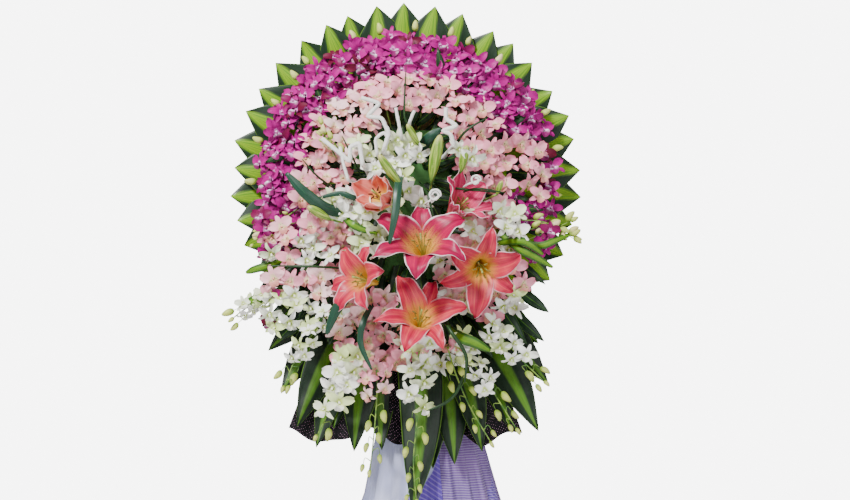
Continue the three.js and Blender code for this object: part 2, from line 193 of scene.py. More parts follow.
class Finish:
    """A material with one Principled shader, built up by formulas."""

    def __init__(self, name, **constants):
        self.material = bpy.data.materials.new(name)
        self.material.use_nodes = True
        self.tree = self.material.node_tree
        self.shader = self.tree.nodes["Principled BSDF"]
        for key, value in constants.items():
            self.shader.inputs[key.replace("_", " ").title().replace("Ior", "IOR")].default_value = value

    def node(self, kind, settings=None, inputs=None, output=0):
        """Adds a node: settings first, then the values or links of its sockets."""
        made = self.tree.nodes.new(kind)
        for key, value in (settings or {}).items():
            setattr(made, key, value)
        pairs = inputs.items() if isinstance(inputs, dict) else enumerate(inputs or [])
        for key, value in pairs:
            if isinstance(value, Value):
                self.tree.links.new(value.socket, made.inputs[key])
            else:
                made.inputs[key].default_value = value
        return Value(self, made.outputs[output])

    def place(self):
        return self.node("ShaderNodeTexCoord", output="Object")

    def uv(self):
        """The piece's own two coordinates: across and along."""
        split = self.node("ShaderNodeSeparateXYZ", inputs=[self.node("ShaderNodeUVMap")])
        return split, Value(self, split.socket.node.outputs[1])

    def attribute(self, name):
        return self.node("ShaderNodeAttribute", {"attribute_name": name}, output="Fac")

    def noise(self, scale, detail=3, vector=None, rough=0.5):
        inputs = {"Vector": vector or self.place(), "Scale": scale, "Detail": detail, "Roughness": rough}
        return self.node("ShaderNodeTexNoise", inputs=inputs)

    def combine(self, x, y):
        return self.node("ShaderNodeCombineXYZ", inputs=[x, y])

    def blend(self, factor, first, second):
        """A colour between two; either may be a constant."""
        inputs = {0: factor, 6: colour(first), 7: colour(second)}
        return self.node("ShaderNodeMix", {"data_type": "RGBA"}, inputs, 2)

    def drive(self, key, value):
        self.tree.links.new(value.socket, self.shader.inputs[key])

    def bump(self, height, distance, strength=0.5):
        inputs = {"Height": height, "Distance": distance, "Strength": strength}
        self.drive("Normal", self.node("ShaderNodeBump", inputs=inputs))


def colour(value):
    """An sRGB hex string as linear RGBA; anything else as it is."""
    if not isinstance(value, str):
        return value
    channels = [int(value[i:i + 2], 16) / 255 for i in (1, 3, 5)]
    linear = [c / 12.92 if c <= 0.04045 else ((c + 0.055) / 1.055) ** 2.4 for c in channels]
    return (*linear, 1)


# %% Floor
def floor_finish():
    finish = Finish("floor_paper", roughness=0.7)
    finish.drive("Base Color", finish.blend(finish.noise(3), "#eceae6", "#f6f5f2"))
    return finish.material


bm = bmesh.new()
bmesh.ops.create_circle(bm, cap_ends=True, radius=2.4, segments=96)
mesh = bpy.data.meshes.new("floor")
bm.to_mesh(mesh)
bm.free()
mesh.materials.append(floor_finish())
floor = bpy.data.objects.new("floor", mesh)
bpy.context.collection.objects.link(floor)

# %% [markdown]
# ## Making a piece
# Every petal, leaf and cloth begins as a flat grid whose points are then laid where a formula says.
# The grid keeps two coordinates, across and along, so that a stripe or a vein follows the surface.
# A template is made once, and copied with a turn and a size wherever the real piece repeats.

# %% Helpers for pieces
def strip(bm, across, along, shape, material=0):
    """Adds a grid and puts each point at shape(u, t): u from -1 to 1 across, t from 0 to 1 along."""
    uv = bm.loops.layers.uv.verify()
    grid = bmesh.ops.create_grid(bm, x_segments=across, y_segments=along, size=0.5)
    for face in {face for vert in grid["verts"] for face in vert.link_faces}:
        face.material_index = material
        face.smooth = True
        for loop in face.loops:
            loop[uv].uv = (loop.vert.co.x + 0.5, loop.vert.co.y + 0.5)
    for vert in grid["verts"]:
        vert.co = shape(2 * vert.co.x, vert.co.y + 0.5)


def tube(bm, points, radius, sides=6, material=0, taper=1.0):
    """A round stem along the points, thinner by taper at its far end, closed at both ends."""
    uv = bm.loops.layers.uv.verify()
    rings = []
    for i, point in enumerate(points):
        ahead = points[min(i + 1, len(points) - 1)] - points[max(i - 1, 0)]
        turn = ahead.to_track_quat("Z", "Y").to_matrix().to_4x4()
        size = radius * lerp(1, taper, i / (len(points) - 1))
        place = Matrix.Translation(point) @ turn
        ring = bmesh.ops.create_circle(bm, segments=sides, radius=size, matrix=place)
        rings.append(ring["verts"])
    edges = [list({edge for vert in ring for edge in vert.link_edges}) for ring in rings]
    faces = []
    for lower, upper in zip(edges, edges[1:]):
        faces += bmesh.ops.bridge_loops(bm, edges=lower + upper)["faces"]
    for ring in (edges[0], edges[-1]):
        faces += bmesh.ops.holes_fill(bm, edges=ring, sides=sides)["faces"]
    bmesh.ops.recalc_face_normals(bm, faces=faces)
    for face in faces:
        face.material_index = material
        face.smooth = True
        for loop in face.loops:
            loop[uv].uv = (0.5, 0.5)


def as_mesh(bm, name):
    mesh = bpy.data.meshes.new(name)
    bm.to_mesh(mesh)
    bm.free()
    return mesh


def copy_in(bm, template, matrix, tint):
    """Copies a template into the mesh under way, and gives the copy its own tint."""
    layer = bm.verts.layers.float.get("tint") or bm.verts.layers.float.new("tint")
    first = len(bm.verts)
    bm.from_mesh(template)
    bm.verts.ensure_lookup_table()
    copied = bm.verts[first:]
    bmesh.ops.transform(bm, matrix=matrix, verts=copied)
    for vert in copied:
        vert[layer] = tint


def facing(place, direction, roll=0.0, size=1.0):
    """The matrix that puts a template at a place, with its local Z along direction."""
    turn = Vector(direction).to_track_quat("Z", "Y").to_matrix().to_4x4()
    return Matrix.Translation(place) @ turn @ Matrix.Rotation(roll, 4, "Z") @ Matrix.Scale(size, 4)


def piece(name, bm, finishes, nodes=(), thickness=0.0):
    """Turns a mesh under way into a piece of the object."""
    made = bpy.data.objects.new(name, as_mesh(bm, name))
    for finish in finishes:
        made.data.materials.append(finish)
    bpy.context.collection.objects.link(made)
    if thickness:
        wall = made.modifiers.new("wall", "SOLIDIFY")
        wall.thickness = thickness
        wall.offset = 0
    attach(made, "root")
    if nodes:
        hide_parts(*nodes)
    return made


# %% [markdown]
# ## Stand, board and foam
# The stand is raw softwood and the board raw plywood, because nobody sees them once the head is
# dressed. The CAD solids already have the right shape, so they only get wood with grain along its
# length. The foam is open-celled and crumbles at its edges.

# %% Wood and foam finishes
def wood_finish(name, light, dark, squeeze):
    finish = Finish(name, roughness=0.75)
    stretched = finish.node("ShaderNodeMapping", inputs={"Vector": finish.place(), "Scale": squeeze})
    grain = finish.noise(30, 6, stretched, 0.6)
    fibre = finish.noise(220, 3, stretched)
    finish.drive("Base Color", finish.blend((grain * 0.75 + fibre * 0.25).band(0.35, 0.65), light, dark))
    finish.drive("Roughness", fibre * 0.2 + 0.62)
    finish.bump(fibre + grain, 0.0008, 0.35)
    return finish.material


def foam_finish():
    finish = Finish("wet_foam", roughness=0.95)
    cells = finish.noise(900, 4)
    finish.drive("Base Color", finish.blend(finish.noise(30), "#2c5a2a", "#4b7d40"))
    finish.bump(cells, 0.001, 0.7)
    return finish.material


upright_wood = wood_finish("softwood_upright", "#c79e6a", "#96693c", (1, 1, 0.06))
level_wood = wood_finish("softwood_level", "#c9a26f", "#9a6f42", (0.06, 1, 1))
plywood = wood_finish("plywood", "#a88c5c", "#7c6238", (0.15, 1, 1))
wet_foam = foam_finish()


def dress(finish, *names):
    for name in names:
        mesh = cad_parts[name].data
        mesh.materials.clear()
        mesh.materials.append(finish)


dress(upright_wood, "stand_mast", "stand_leg_front_left", "stand_leg_front_right", "stand_leg_rear")
dress(level_wood, "stand_brace", "back_rail_1", "back_rail_2")
dress(plywood, "backing_board")
dress(wet_foam, "foam_brick_1", "foam_brick_2", "foam_brick_3")

# %% [markdown]
# ## Dragon-tree leaves
# The collar is made of glossy leaves, dark green with a lime stripe down the middle. Each is folded
# along the stripe and cut to a blunt point, and they overlap like shingles. A leaf is one grid: its
# width follows a profile, and its two halves drop away from the fold.

# %% Leaf finish
def leaf_finish(name, stripe_width, stripe, dark, sheen_green, gloss, shoulder=1.0):
    """Dark blades with a lime stripe, which stays as broad where the leaf narrows beyond its shoulder."""
    finish = Finish(name, roughness=0.36, coat_roughness=0.25, specular_ior_level=0.3)
    across, along = finish.uv()
    away = abs(across - 0.5) * 2
    middle = away if shoulder == 1 else abs(across - 0.44) * 2 * (1 - along.band(shoulder, 1.0) * 0.5)
    wobble = finish.noise(9, 2) * 0.1 - 0.05
    thread = finish.noise(1, 3, finish.combine(across * 46, along * 1.5), 0.6)
    in_stripe = 1 - (middle + wobble + thread * 0.12 - 0.06).band(stripe_width * 0.65, stripe_width * 1.35)
    lime = finish.blend(thread.band(0.42, 0.62), stripe, "#4c8414")
    green = finish.blend(thread.band(0.3, 0.75), dark, sheen_green)
    margin = finish.blend(away.band(0.93, 0.99), green, "#5b7f2c")
    finish.drive("Base Color", finish.blend(in_stripe, margin, lime))
    finish.drive("Roughness", thread * 0.25 + 0.3)
    finish.drive("Coat Weight", gloss - 0.8 * gloss * in_stripe)
    finish.bump(thread, 0.0006, 0.35)
    return finish.material


LEAF_SHOULDER = 0.69  # share of a collar leaf's length at which it is widest
collar_leaf = leaf_finish("collar_leaf", 0.32, "#86ac0e", "#051c0b", "#123818", 0.2, LEAF_SHOULDER)
# The hanging leaves are the collar's leaf in darker colours: the darkening is painted shade, for leaves that
# hang below the head.
lower_leaf = leaf_finish("lower_leaf", 0.26, "#48661a", "#041408", "#0d2a10", 0.1)
strap_leaf = leaf_finish("strap_leaf", 0.01, "#2c5c44", "#0c2c20", "#28543f", 0.2)
dark_leaf = leaf_finish("dark_leaf", 0.05, "#3c6018", "#0a2410", "#1a3f1e", 0.2)

# %% The collar
COLLAR_FANS = 7
LEAVES_PER_FAN = 4
COLLAR_RADIUS = 391
COLLAR_ANGLES = (-42, 212)
LEAF_LENGTH = 185
LEAF_HALF = 50
LEAF_THICKNESS = 0.9 * MM
FAN_LAYERS = (-9, -23)
dice = random.Random(7)


def collar_width(t):
    """Half the leaf's width: it widens to its shoulder, then runs to a blunt point."""
    if t < LEAF_SHOULDER:
        return lerp(27, LEAF_HALF, t / LEAF_SHOULDER)
    return lerp(LEAF_HALF, 0.5, ((t - LEAF_SHOULDER) / (1 - LEAF_SHOULDER)) ** 1.06)


def collar_leaf_points(degrees, layer, lean, length):
    """The shape of one collar leaf, turned by its own angle and leaning a little."""
    a = math.radians(degrees)
    outward = Vector((math.cos(a), 0, math.sin(a)))
    across = Vector((math.sin(a), 0, -math.cos(a)))

    def shape(u, t):
        x = u * collar_width(t)
        drop = abs(x) * 0.12 + (1.5 * lean * u)
        wave = 0.8 * math.sin(9 * t + 2 * u + degrees)
        radius = COLLAR_RADIUS - LEAF_LENGTH + t * length
        place = at(0, layer - 6 * t + drop + wave, HEAD_HEIGHT)
        return place + (outward * radius + across * x) * MM

    return shape


for fan in range(COLLAR_FANS):
    bm = bmesh.new()
    for i in range(LEAVES_PER_FAN):
        k = fan * LEAVES_PER_FAN + i
        share = k / (COLLAR_FANS * LEAVES_PER_FAN - 1)
        degrees = lerp(*COLLAR_ANGLES, share) + dice.uniform(-1.6, 1.6)
        layer = FAN_LAYERS[fan % 2] - 2.2 * (i % 2)
        length = LEAF_LENGTH + dice.uniform(-7, 4) + 12 * max(0, math.sin(math.radians(degrees))) ** 2
        strip(bm, 12, 26, collar_leaf_points(degrees, layer, dice.uniform(-1, 1), length))
    piece(f"collar_leaves_{fan + 1}", bm, [collar_leaf], [f"collar_fan_{fan + 1}"], LEAF_THICKNESS)
print("collar done")

# %% [markdown]
# ## Long lower leaves
# Below the head, uncut leaves of the same plant hang down in front of the skirt. They bow outwards,
# are folded along the midrib and end in a long point.

# %% The lower leaves
LOWER_TOP = 926
LEAF_LAYER = 13  # how much further forward each layer of hanging leaves lies, in mm


def apron_y(z):
    """How far forward the net lies at a height; the leaves lie just in front of it."""
    return lerp(-12, -98, (905 - z) / (905 - 588))


def hanging_leaf(bm, x, z, half, layer, root_share=0.26):
    """A leaf from under the foam to its tip at (x, z); its root is at a share of the tip's x."""
    root = Vector((x * root_share, LOWER_TOP))
    way = Vector((x, z)) - root
    across = Vector((-way.y, way.x)).normalized()
    bow = 0.05 * way.length * (1 if x > root.x else -1)

    def shape(u, t):
        width = half * max(math.sin(math.pi * (0.14 + 0.86 * t)), 0.0001) ** 0.75
        if t > 0.8:
            width *= 1 - 0.25 * ((t - 0.8) / 0.2) ** 1.3
        sideways = u * width + bow * math.sin(math.pi * t)
        flat = root + way * t + across * sideways
        forward = apron_y(root.y + way.y * t) - 12 - layer * LEAF_LAYER
        fold = abs(u) * width * 0.13
        ripple = 1.6 * math.sin(11 * t + 3 * u + x)
        return at(flat.x, forward + fold + ripple, flat.y)

    strip(bm, 12, 34, shape)


LOWER_LEAVES = {
    "lower_leaf_far_left": (-238, 612, 46, 1),
    "lower_leaf_left": (-196, 566, 42, 0),
    "lower_leaf_mid_left": (-112, 560, 48, 2),
    "lower_leaf_centre": (16, 432, 50, 1),
    "lower_leaf_mid_right": (108, 530, 50, 0),
    "lower_leaf_right": (168, 560, 42, 2),
    "lower_leaf_far_right": (292, 602, 48, 1),
    "lower_leaf_outer_right": (316, 704, 44, 0),
}
for node, (x, z, half, layer) in LOWER_LEAVES.items():
    bm = bmesh.new()
    hanging_leaf(bm, x, z, half, layer)
    piece(node.replace("lower_leaf", "hanging_leaf"), bm, [lower_leaf], [node], LEAF_THICKNESS)

BEHIND = [  # more leaves of the same kind in the gaps, one layer further back: tip and half-width
    (-276, 682, 40), (-306, 776, 36), (-158, 606, 44), (-52, 560, 42), (60, 520, 44), (232, 606, 44),
    (262, 660, 40), (-300, 840, 30), (296, 792, 38),
]
bm = bmesh.new()
for i, (x, z, half) in enumerate(BEHIND):
    hanging_leaf(bm, x, z, half, -0.4 - 0.12 * (i % 3), 0.34)
piece("hanging_leaves_behind", bm, [lower_leaf], (), LEAF_THICKNESS)

# %% [markdown]
# ## Filler leaves
# Between the flowers and the board the florist packs short dark leaves, so that no foam shows. They
# are simple blades, thrown round the head at random but always from the same seed.

# %% Filler leaves
RING_FILLERS = 150
LOW_FILLERS = 70


def filler_blade(bm, start, way, half, length):
    """A plain pointed blade from start along way."""
    way = Vector(way).normalized()
    side = way.cross(FACE).normalized()

    def shape(u, t):
        width = half * math.sin(math.pi * min(0.12 + 0.88 * t, 0.995)) ** 0.8
        lift = FACE * (math.sin(math.pi * t) * 0.12 * length - abs(u) * width * 0.2)
        return start + (way * (length * t) + side * (u * width) + lift) * MM

    strip(bm, 4, 8, shape)


bm = bmesh.new()
for _ in range(RING_FILLERS):
    a = dice.uniform(-60, 240)
    radius = dice.uniform(30, 235)
    turn = math.radians(a + dice.uniform(-50, 50))
    way = (math.cos(turn), -0.25, math.sin(turn))
    start = on_ring(a, radius, dice.uniform(-90, -50))
    filler_blade(bm, start, way, dice.uniform(9, 17), dice.uniform(60, 105))
for _ in range(LOW_FILLERS):
    x = dice.uniform(-250, 250)
    start = at(x, dice.uniform(-110, -60), dice.uniform(860, 1010))
    way = (x / 260 + dice.uniform(-0.3, 0.3), -0.2, -0.8)
    filler_blade(bm, start, way, dice.uniform(10, 18), dice.uniform(80, 130))
piece("filler_leaves", bm, [dark_leaf], (), 0.8 * MM)

# %% [markdown]
# ## Orchid blossoms
# A dendrobium blossom has three pointed sepals behind two broad petals, and a rolled lip with a small
# column in the middle. One template of each kind is modelled, from a grid for every petal. A copy is
# put wherever a blossom grows, so a template has fewer than a hundred faces.

# %% Petal finishes
def petal_finish(name, heart, body, edge, shade, vein, heart_end):
    """Heart colour at the petal's root, body colour outwards; some blossoms are darker by their tint."""
    finish = Finish(name, roughness=0.5, specular_ior_level=0.25)
    across, along = finish.uv()
    tint = finish.attribute("tint")
    veins = finish.noise(1, 2, finish.combine(across * 16, along * 1.2), 0.5).band(0.35, 0.7)
    tone = finish.blend(veins * vein, body, edge)
    tone = finish.blend(along.band(0.8, 1.05), tone, edge)
    tone = finish.blend(tint.band(0.45, 1.0), tone, shade)
    finish.drive("Base Color", finish.blend(1 - along.band(0.06, heart_end), tone, heart))
    finish.drive("Roughness", veins * 0.15 + 0.42)
    finish.bump(veins, 0.0005, 0.3)
    return finish.material


def lip_finish(name, inner, outer, spot):
    finish = Finish(name, roughness=0.45)
    across, along = finish.uv()
    tone = finish.blend(along.band(0.1, 0.55), inner, outer)
    blot = finish.noise(420, 2).band(0.56, 0.64)
    finish.drive("Base Color", finish.blend(blot * (1 - along.band(0.35, 0.6)), tone, spot))
    finish.drive("Roughness", blot * 0.1 + 0.4)
    return finish.material


magenta_petal = petal_finish("magenta_petal", "#ec84d8", "#b00080", "#840064", "#5c0024", 0.5, 0.2)
magenta_lip = lip_finish("magenta_lip", "#f4d8f2", "#84005e", "#6c0048")
pink_petal = petal_finish("pink_petal", "#f0e0b4", "#f6a4b8", "#ea7e9c", "#fbd6d6", 0.5, 0.28)
pink_lip = lip_finish("pink_lip", "#dcd49a", "#e89a90", "#80602c")
white_petal = petal_finish("white_petal", "#c8da78", "#fdfdf8", "#e6eadc", "#d8e8a0", 0.35, 0.28)
white_lip = lip_finish("white_lip", "#cfe07c", "#f7f7ea", "#a9bd4c")
MAGENTA = [magenta_petal, magenta_lip]
PINK = [pink_petal, pink_lip]
WHITE = [white_petal, white_lip]
bud_skin = petal_finish("orchid_bud_skin", "#7f9c30", "#ccd472", "#aabd4c", "#e4cf9c", 0.5, 0.5)


def stem_finish(name, low, high):
    finish = Finish(name, roughness=0.45)
    finish.drive("Base Color", finish.blend(finish.noise(60, 2).band(0.35, 0.65), low, high))
    finish.drive("Roughness", finish.noise(200, 2) * 0.2 + 0.4)
    return finish.material


green_stem = stem_finish("green_stem", "#3f6b2a", "#86a343")

# %% Blossom templates
def blossom(name, petal_half, petal_length, sepal_half, ruffle, hollow):
    """A template about one unit wide that faces local +Z, with petals as material 0 and lip as 1."""
    bm = bmesh.new()

    def leaf_of(turn, half, length, behind, cup, across, along):
        a = math.radians(turn)

        def shape(u, t):
            width = half * math.sin(math.pi * (0.08 + 0.86 * t ** 0.95)) ** 0.55
            x = u * width
            y = 0.03 + t * length
            z = behind + cup * (t - 0.55 * t * t)
            z += 2.2 * hollow * half * u * u * t
            z += hollow * t * (1 - 1.3 * t)
            z += ruffle * math.sin(6 * t + 4 * u + turn) * abs(u)
            return Vector((x * math.cos(a) - y * math.sin(a), x * math.sin(a) + y * math.cos(a), z))

        strip(bm, across, along, shape)

    leaf_of(0, sepal_half, 0.47, -0.04, 0.05, 2, 4)
    leaf_of(125, sepal_half, 0.46, -0.04, 0.02, 2, 4)
    leaf_of(-125, sepal_half, 0.46, -0.04, 0.02, 2, 4)
    leaf_of(66, petal_half, petal_length, 0.0, 0.07, 4, 4)
    leaf_of(-66, petal_half, petal_length, 0.0, 0.07, 4, 4)

    def lip(u, t):
        """The lip rolls up at its sides round the column and turns down at its end."""
        side = (0.09 + 0.09 * math.sin(math.pi * t) ** 0.5) * u
        roll = 0.1 * u * u * (1 - 0.4 * t)
        return Vector((side, -0.03 - 0.27 * t ** 1.3, 0.03 + 0.2 * t - 0.22 * t ** 3 + roll))

    strip(bm, 4, 5, lip, 1)
    strip(bm, 2, 2, lambda u, t: Vector((0.04 * u, 0.06 - 0.1 * t, 0.06 + 0.08 * t - 0.03 * u * u)), 1)
    mesh = as_mesh(bm, name)
    print(name, len(mesh.polygons), "faces")
    return mesh


broad_blossom = blossom("broad_blossom", 0.2, 0.48, 0.1, 0.03, 0.16)
slim_blossom = blossom("slim_blossom", 0.155, 0.52, 0.085, 0.035, 0.24)


def bud_template():
    """A plump pointed bud along local +Z, a unit long, with the little spur at its foot."""
    bm = bmesh.new()
    uv = bm.loops.layers.uv.verify()
    bmesh.ops.create_uvsphere(bm, u_segments=8, v_segments=7, radius=0.5)
    for vert in bm.verts:
        t = vert.co.z + 0.5
        width = 0.62 * (1 - 0.45 * t) + 0.05
        vert.co = Vector((vert.co.x * width + 0.08 * math.sin(3 * t), vert.co.y * width, t))
    for face in bm.faces:
        face.smooth = True
        for loop in face.loops:
            loop[uv].uv = (0.5 + loop.vert.co.x, loop.vert.co.z)
    return as_mesh(bm, "orchid_bud")


orchid_bud = bud_template()

# %% Rings of orchids
def scatter_way(place, lean, wild):
    """A blossom faces the front, leaning outwards from the head's middle, with some disorder."""
    outward = place - at(0, 0, HEAD_HEIGHT - 60)
    outward.y = 0
    wander = Vector((dice.uniform(-wild, wild), 0, dice.uniform(-wild, wild)))
    return FACE + outward.normalized() * lean * min(outward.length / 0.25, 1) + wander


def ring_places(rows, from_angle, to_angle, jitter):
    """Places in rows of (radius, count, y) between two angles, staggered from row to row."""
    places = []
    for row, (radius, count, y) in enumerate(rows):
        for k in range(count):
            share = (k + 0.5 * (row % 2) + 0.25) / count
            degrees = lerp(from_angle, to_angle, share) + dice.uniform(-jitter, jitter) * 0.1
            r = radius + dice.uniform(-jitter, jitter)
            places.append((degrees, r, y + dice.uniform(-jitter, jitter) * 0.8))
    return places


def spray_piece(name, nodes, finishes, blooms, buds=(), stems=()):
    """One spray: blooms and buds are (template, place, direction, size in mm, tint)."""
    bm = bmesh.new()
    for template, place, way, size, tint in blooms:
        copy_in(bm, template, facing(place, way, dice.uniform(-0.5, 0.5), size * MM), tint)
    first = len(bm.faces)
    for place, way, size, tint in buds:
        copy_in(bm, orchid_bud, facing(place, way, dice.uniform(0, 6), size * MM), tint)
    bm.faces.ensure_lookup_table()
    for face in bm.faces[first:]:
        face.material_index = 2
    for points, radius in stems:
        tube(bm, points, radius * MM, 5, 3, 0.6)
    piece(name, bm, [*finishes, bud_skin, green_stem], nodes)


def stem_to(degrees, radius, y):
    """A main stem from the foam out to the blossoms of a ring spray."""
    start = on_ring(degrees, 80, -30)
    end = on_ring(degrees, radius, y)
    return [start.lerp(end, t) + FACE * 0.03 * math.sin(math.pi * t) for t in (0, 0.25, 0.5, 0.75, 1)]


def tint_of(dark_share):
    """Most blossoms have hardly any tint; a share of them is dark."""
    return dice.uniform(0.7, 1.0) if dice.random() < dark_share else dice.uniform(0, 0.45)


MAGENTA_ROWS = [(246, 25, -106), (268, 29, -106), (288, 32, -100), (305, 33, -90), (318, 30, -78)]
MAGENTA_SPAN = (-20, 209)
MAGENTA_SPRAYS = 6
RIM_BUDS = 3
magenta_places = ring_places(MAGENTA_ROWS, *MAGENTA_SPAN, 9)
for i in range(MAGENTA_SPRAYS):
    low = lerp(*MAGENTA_SPAN, i / MAGENTA_SPRAYS)
    high = lerp(*MAGENTA_SPAN, (i + 1) / MAGENTA_SPRAYS)
    blooms = []
    for degrees, radius, y in magenta_places:
        if low <= degrees < high or (i == MAGENTA_SPRAYS - 1 and degrees >= high):
            crowded_out = -8 < degrees < 20 and radius < 305
            if crowded_out:
                continue
            place = on_ring(degrees, radius, y)
            size = dice.uniform(50, 62)
            way = scatter_way(place, 0.3, 0.8)
            kind = slim_blossom if dice.random() < 0.5 else broad_blossom
            blooms.append((kind, place, way, size, tint_of(0.2)))
    buds = []
    for k in range(RIM_BUDS):
        degrees = lerp(low, high, (k + dice.uniform(0.2, 0.8)) / RIM_BUDS)
        place = on_ring(degrees, dice.uniform(324, 338), -68)
        outward = place - at(0, 0, HEAD_HEIGHT)
        outward.y = dice.uniform(-0.12, 0.02)
        buds.append((place, outward, dice.uniform(22, 30), dice.random()))
    middle = (low + high) / 2
    stems = [(stem_to(middle + d, 320, -74), 2) for d in (-9, 0, 9)]
    spray_piece(f"magenta_orchids_{i + 1}", [f"magenta_spray_{i + 1}"],
                MAGENTA, blooms, buds, stems)

PINK_ROWS = [(140, 15, -146), (170, 18, -144), (200, 22, -136), (226, 24, -122)]
PINK_SPAN = (-44, 226)
PINK_SPRAYS = 5
pink_places = ring_places(PINK_ROWS, *PINK_SPAN, 9)
PINK_OUTSIDE = [(18, 268), (8, 272), (-1, 270), (13, 296), (3, 300), (-6, 296)]  # where magenta makes room
pink_places += [(degrees, radius, -112) for degrees, radius in PINK_OUTSIDE]
for i in range(PINK_SPRAYS):
    low = lerp(*PINK_SPAN, i / PINK_SPRAYS)
    high = lerp(*PINK_SPAN, (i + 1) / PINK_SPRAYS)
    blooms = []
    for degrees, radius, y in pink_places:
        place = on_ring(degrees, radius, y)
        leafy_gap = abs(degrees - 88) < 26 and radius < 158
        last = i == PINK_SPRAYS - 1 and degrees >= high
        if (low <= degrees < high or last) and not leafy_gap:
            way = scatter_way(place, 0.25, 0.75)
            paleness = dice.uniform(0.35, 1.0) if degrees > 90 else dice.uniform(0, 0.7)
            blooms.append((broad_blossom, place, way, dice.uniform(50, 66), paleness))
    middle = (low + high) / 2
    stems = [(stem_to(middle + d, 230, -116), 2) for d in (-14, 0, 14)]
    spray_piece(f"pink_orchids_{i + 1}", [f"pink_spray_{i + 1}"],
                PINK, blooms, (), stems)
print("rings done")

# %% [markdown]
# ## White orchids
# White blossoms fill the middle of the head in loose groups, and more of them trail over the front
# and the lower leaves. Each group is a list of places, given one by one as a florist puts them in.

# %% White groups in the middle
def group(places, y, sizes, template=slim_blossom, wild=0.6):
    """Blooms at (x, z) places, each thrown a little forward or back."""
    blooms = []
    for x, z in places:
        place = at(x, y + dice.uniform(-12, 12), z)
        way = scatter_way(place, 0.15, wild)
        blooms.append((template, place, way, dice.uniform(*sizes), dice.random()))
    return blooms


CROWN_TOP = [(-16, 1238), (16, 1230), (-40, 1222), (0, 1204), (-22, 1184), (30, 1204), (-4, 1160),
             (-100, 1230), (-78, 1206), (-64, 1176), (116, 1216), (144, 1198)]
CROWN_LEFT = [(-156, 1108), (-126, 1116), (-142, 1082), (-110, 1078), (-80, 1084), (-98, 1050),
              (-60, 1036), (-96, 1014), (-52, 1000), (-108, 986), (-34, 1060), (6, 1128), (36, 1108),
              (-26, 1100)]
CROWN_RIGHT = [(204, 1086), (238, 1078), (218, 1048), (246, 1040), (146, 1040), (122, 1066)]
spray_piece("white_orchids_top", ["white_crown_spray_1"], WHITE,
            group(CROWN_TOP, -190, (50, 64)), (), [(stem_to(90, 60, -170), 2)])
spray_piece("white_orchids_middle", ["white_crown_spray_2"], WHITE,
            group(CROWN_LEFT + CROWN_RIGHT, -178, (52, 70), broad_blossom, 0.8), (),
            [(stem_to(200, 110, -165), 2)])

# %% [markdown]
# Under the lilies the blossoms are mixed: blush on the left and between the lilies, with white and a
# few magenta ones among them.

# %% Mixed groups below the middle
def field(count, x_range, z_range, seed, gap=27):
    """Places spread over a block, none nearer to another than gap."""
    local = random.Random(seed)
    places = []
    for _ in range(count * 40):
        spot = (local.uniform(*x_range), local.uniform(*z_range))
        if all(math.dist(spot, other) > gap for other in places):
            places.append(spot)
        if len(places) == count:
            break
    return places


left_field = field(28, (-296, -120), (896, 1052), 3, 29)
left_low = field(7, (-300, -200), (824, 900), 5, 30)
middle_low = field(22, (-146, -6), (738, 905), 9)
right_field = field(26, (60, 268), (852, 1040), 13)
under_lily = field(9, (-8, 120), (742, 812), 17)
BLUSH_SHARE = 0.72
blush = [spot for spot in left_field if dice.random() < BLUSH_SHARE]
blush += middle_low + right_field[::2] + under_lily[::2]
pale = [spot for spot in left_field if spot not in blush]
pale += left_low + right_field[1::2] + under_lily[1::2]
STRAY_MAGENTA = [(-306, 1046), (-290, 1016), (-316, 1072), (-304, 990), (-276, 1040), (-290, 900),
                 (-296, 838), (302, 1010), (286, 985), (316, 1040)]
spray_piece("blush_orchids_low", [], PINK, group(blush, -138, (54, 68), broad_blossom))
spray_piece("white_orchids_low", [], WHITE, group(pale, -140, (50, 62)))
spray_piece("magenta_orchids_low", [], MAGENTA,
            group(STRAY_MAGENTA, -132, (48, 58), broad_blossom))

# %% [markdown]
# ## Hanging sprays
# A hanging spray is one thin stem with blossoms on both sides, and buds on curved stalks towards its
# end. A smooth curve is laid through the places that it passes.

# %% Hanging sprays
def smooth_path(points, count):
    """Points evenly along a Catmull-Rom curve through the given ones."""
    whole = [2 * points[0] - points[1], *points, 2 * points[-1] - points[-2]]
    path = []
    for k in range(count + 1):
        t = k / count * (len(points) - 1)
        i = min(int(t), len(points) - 2)
        t -= i
        a, b, c, d = whole[i:i + 4]
        path.append(0.5 * (2 * b + (c - a) * t + (2 * a - 5 * b + 4 * c - d) * t ** 2
                           + (3 * b - a - 3 * c + d) * t ** 3))
    return path


STEM_STEPS = 40


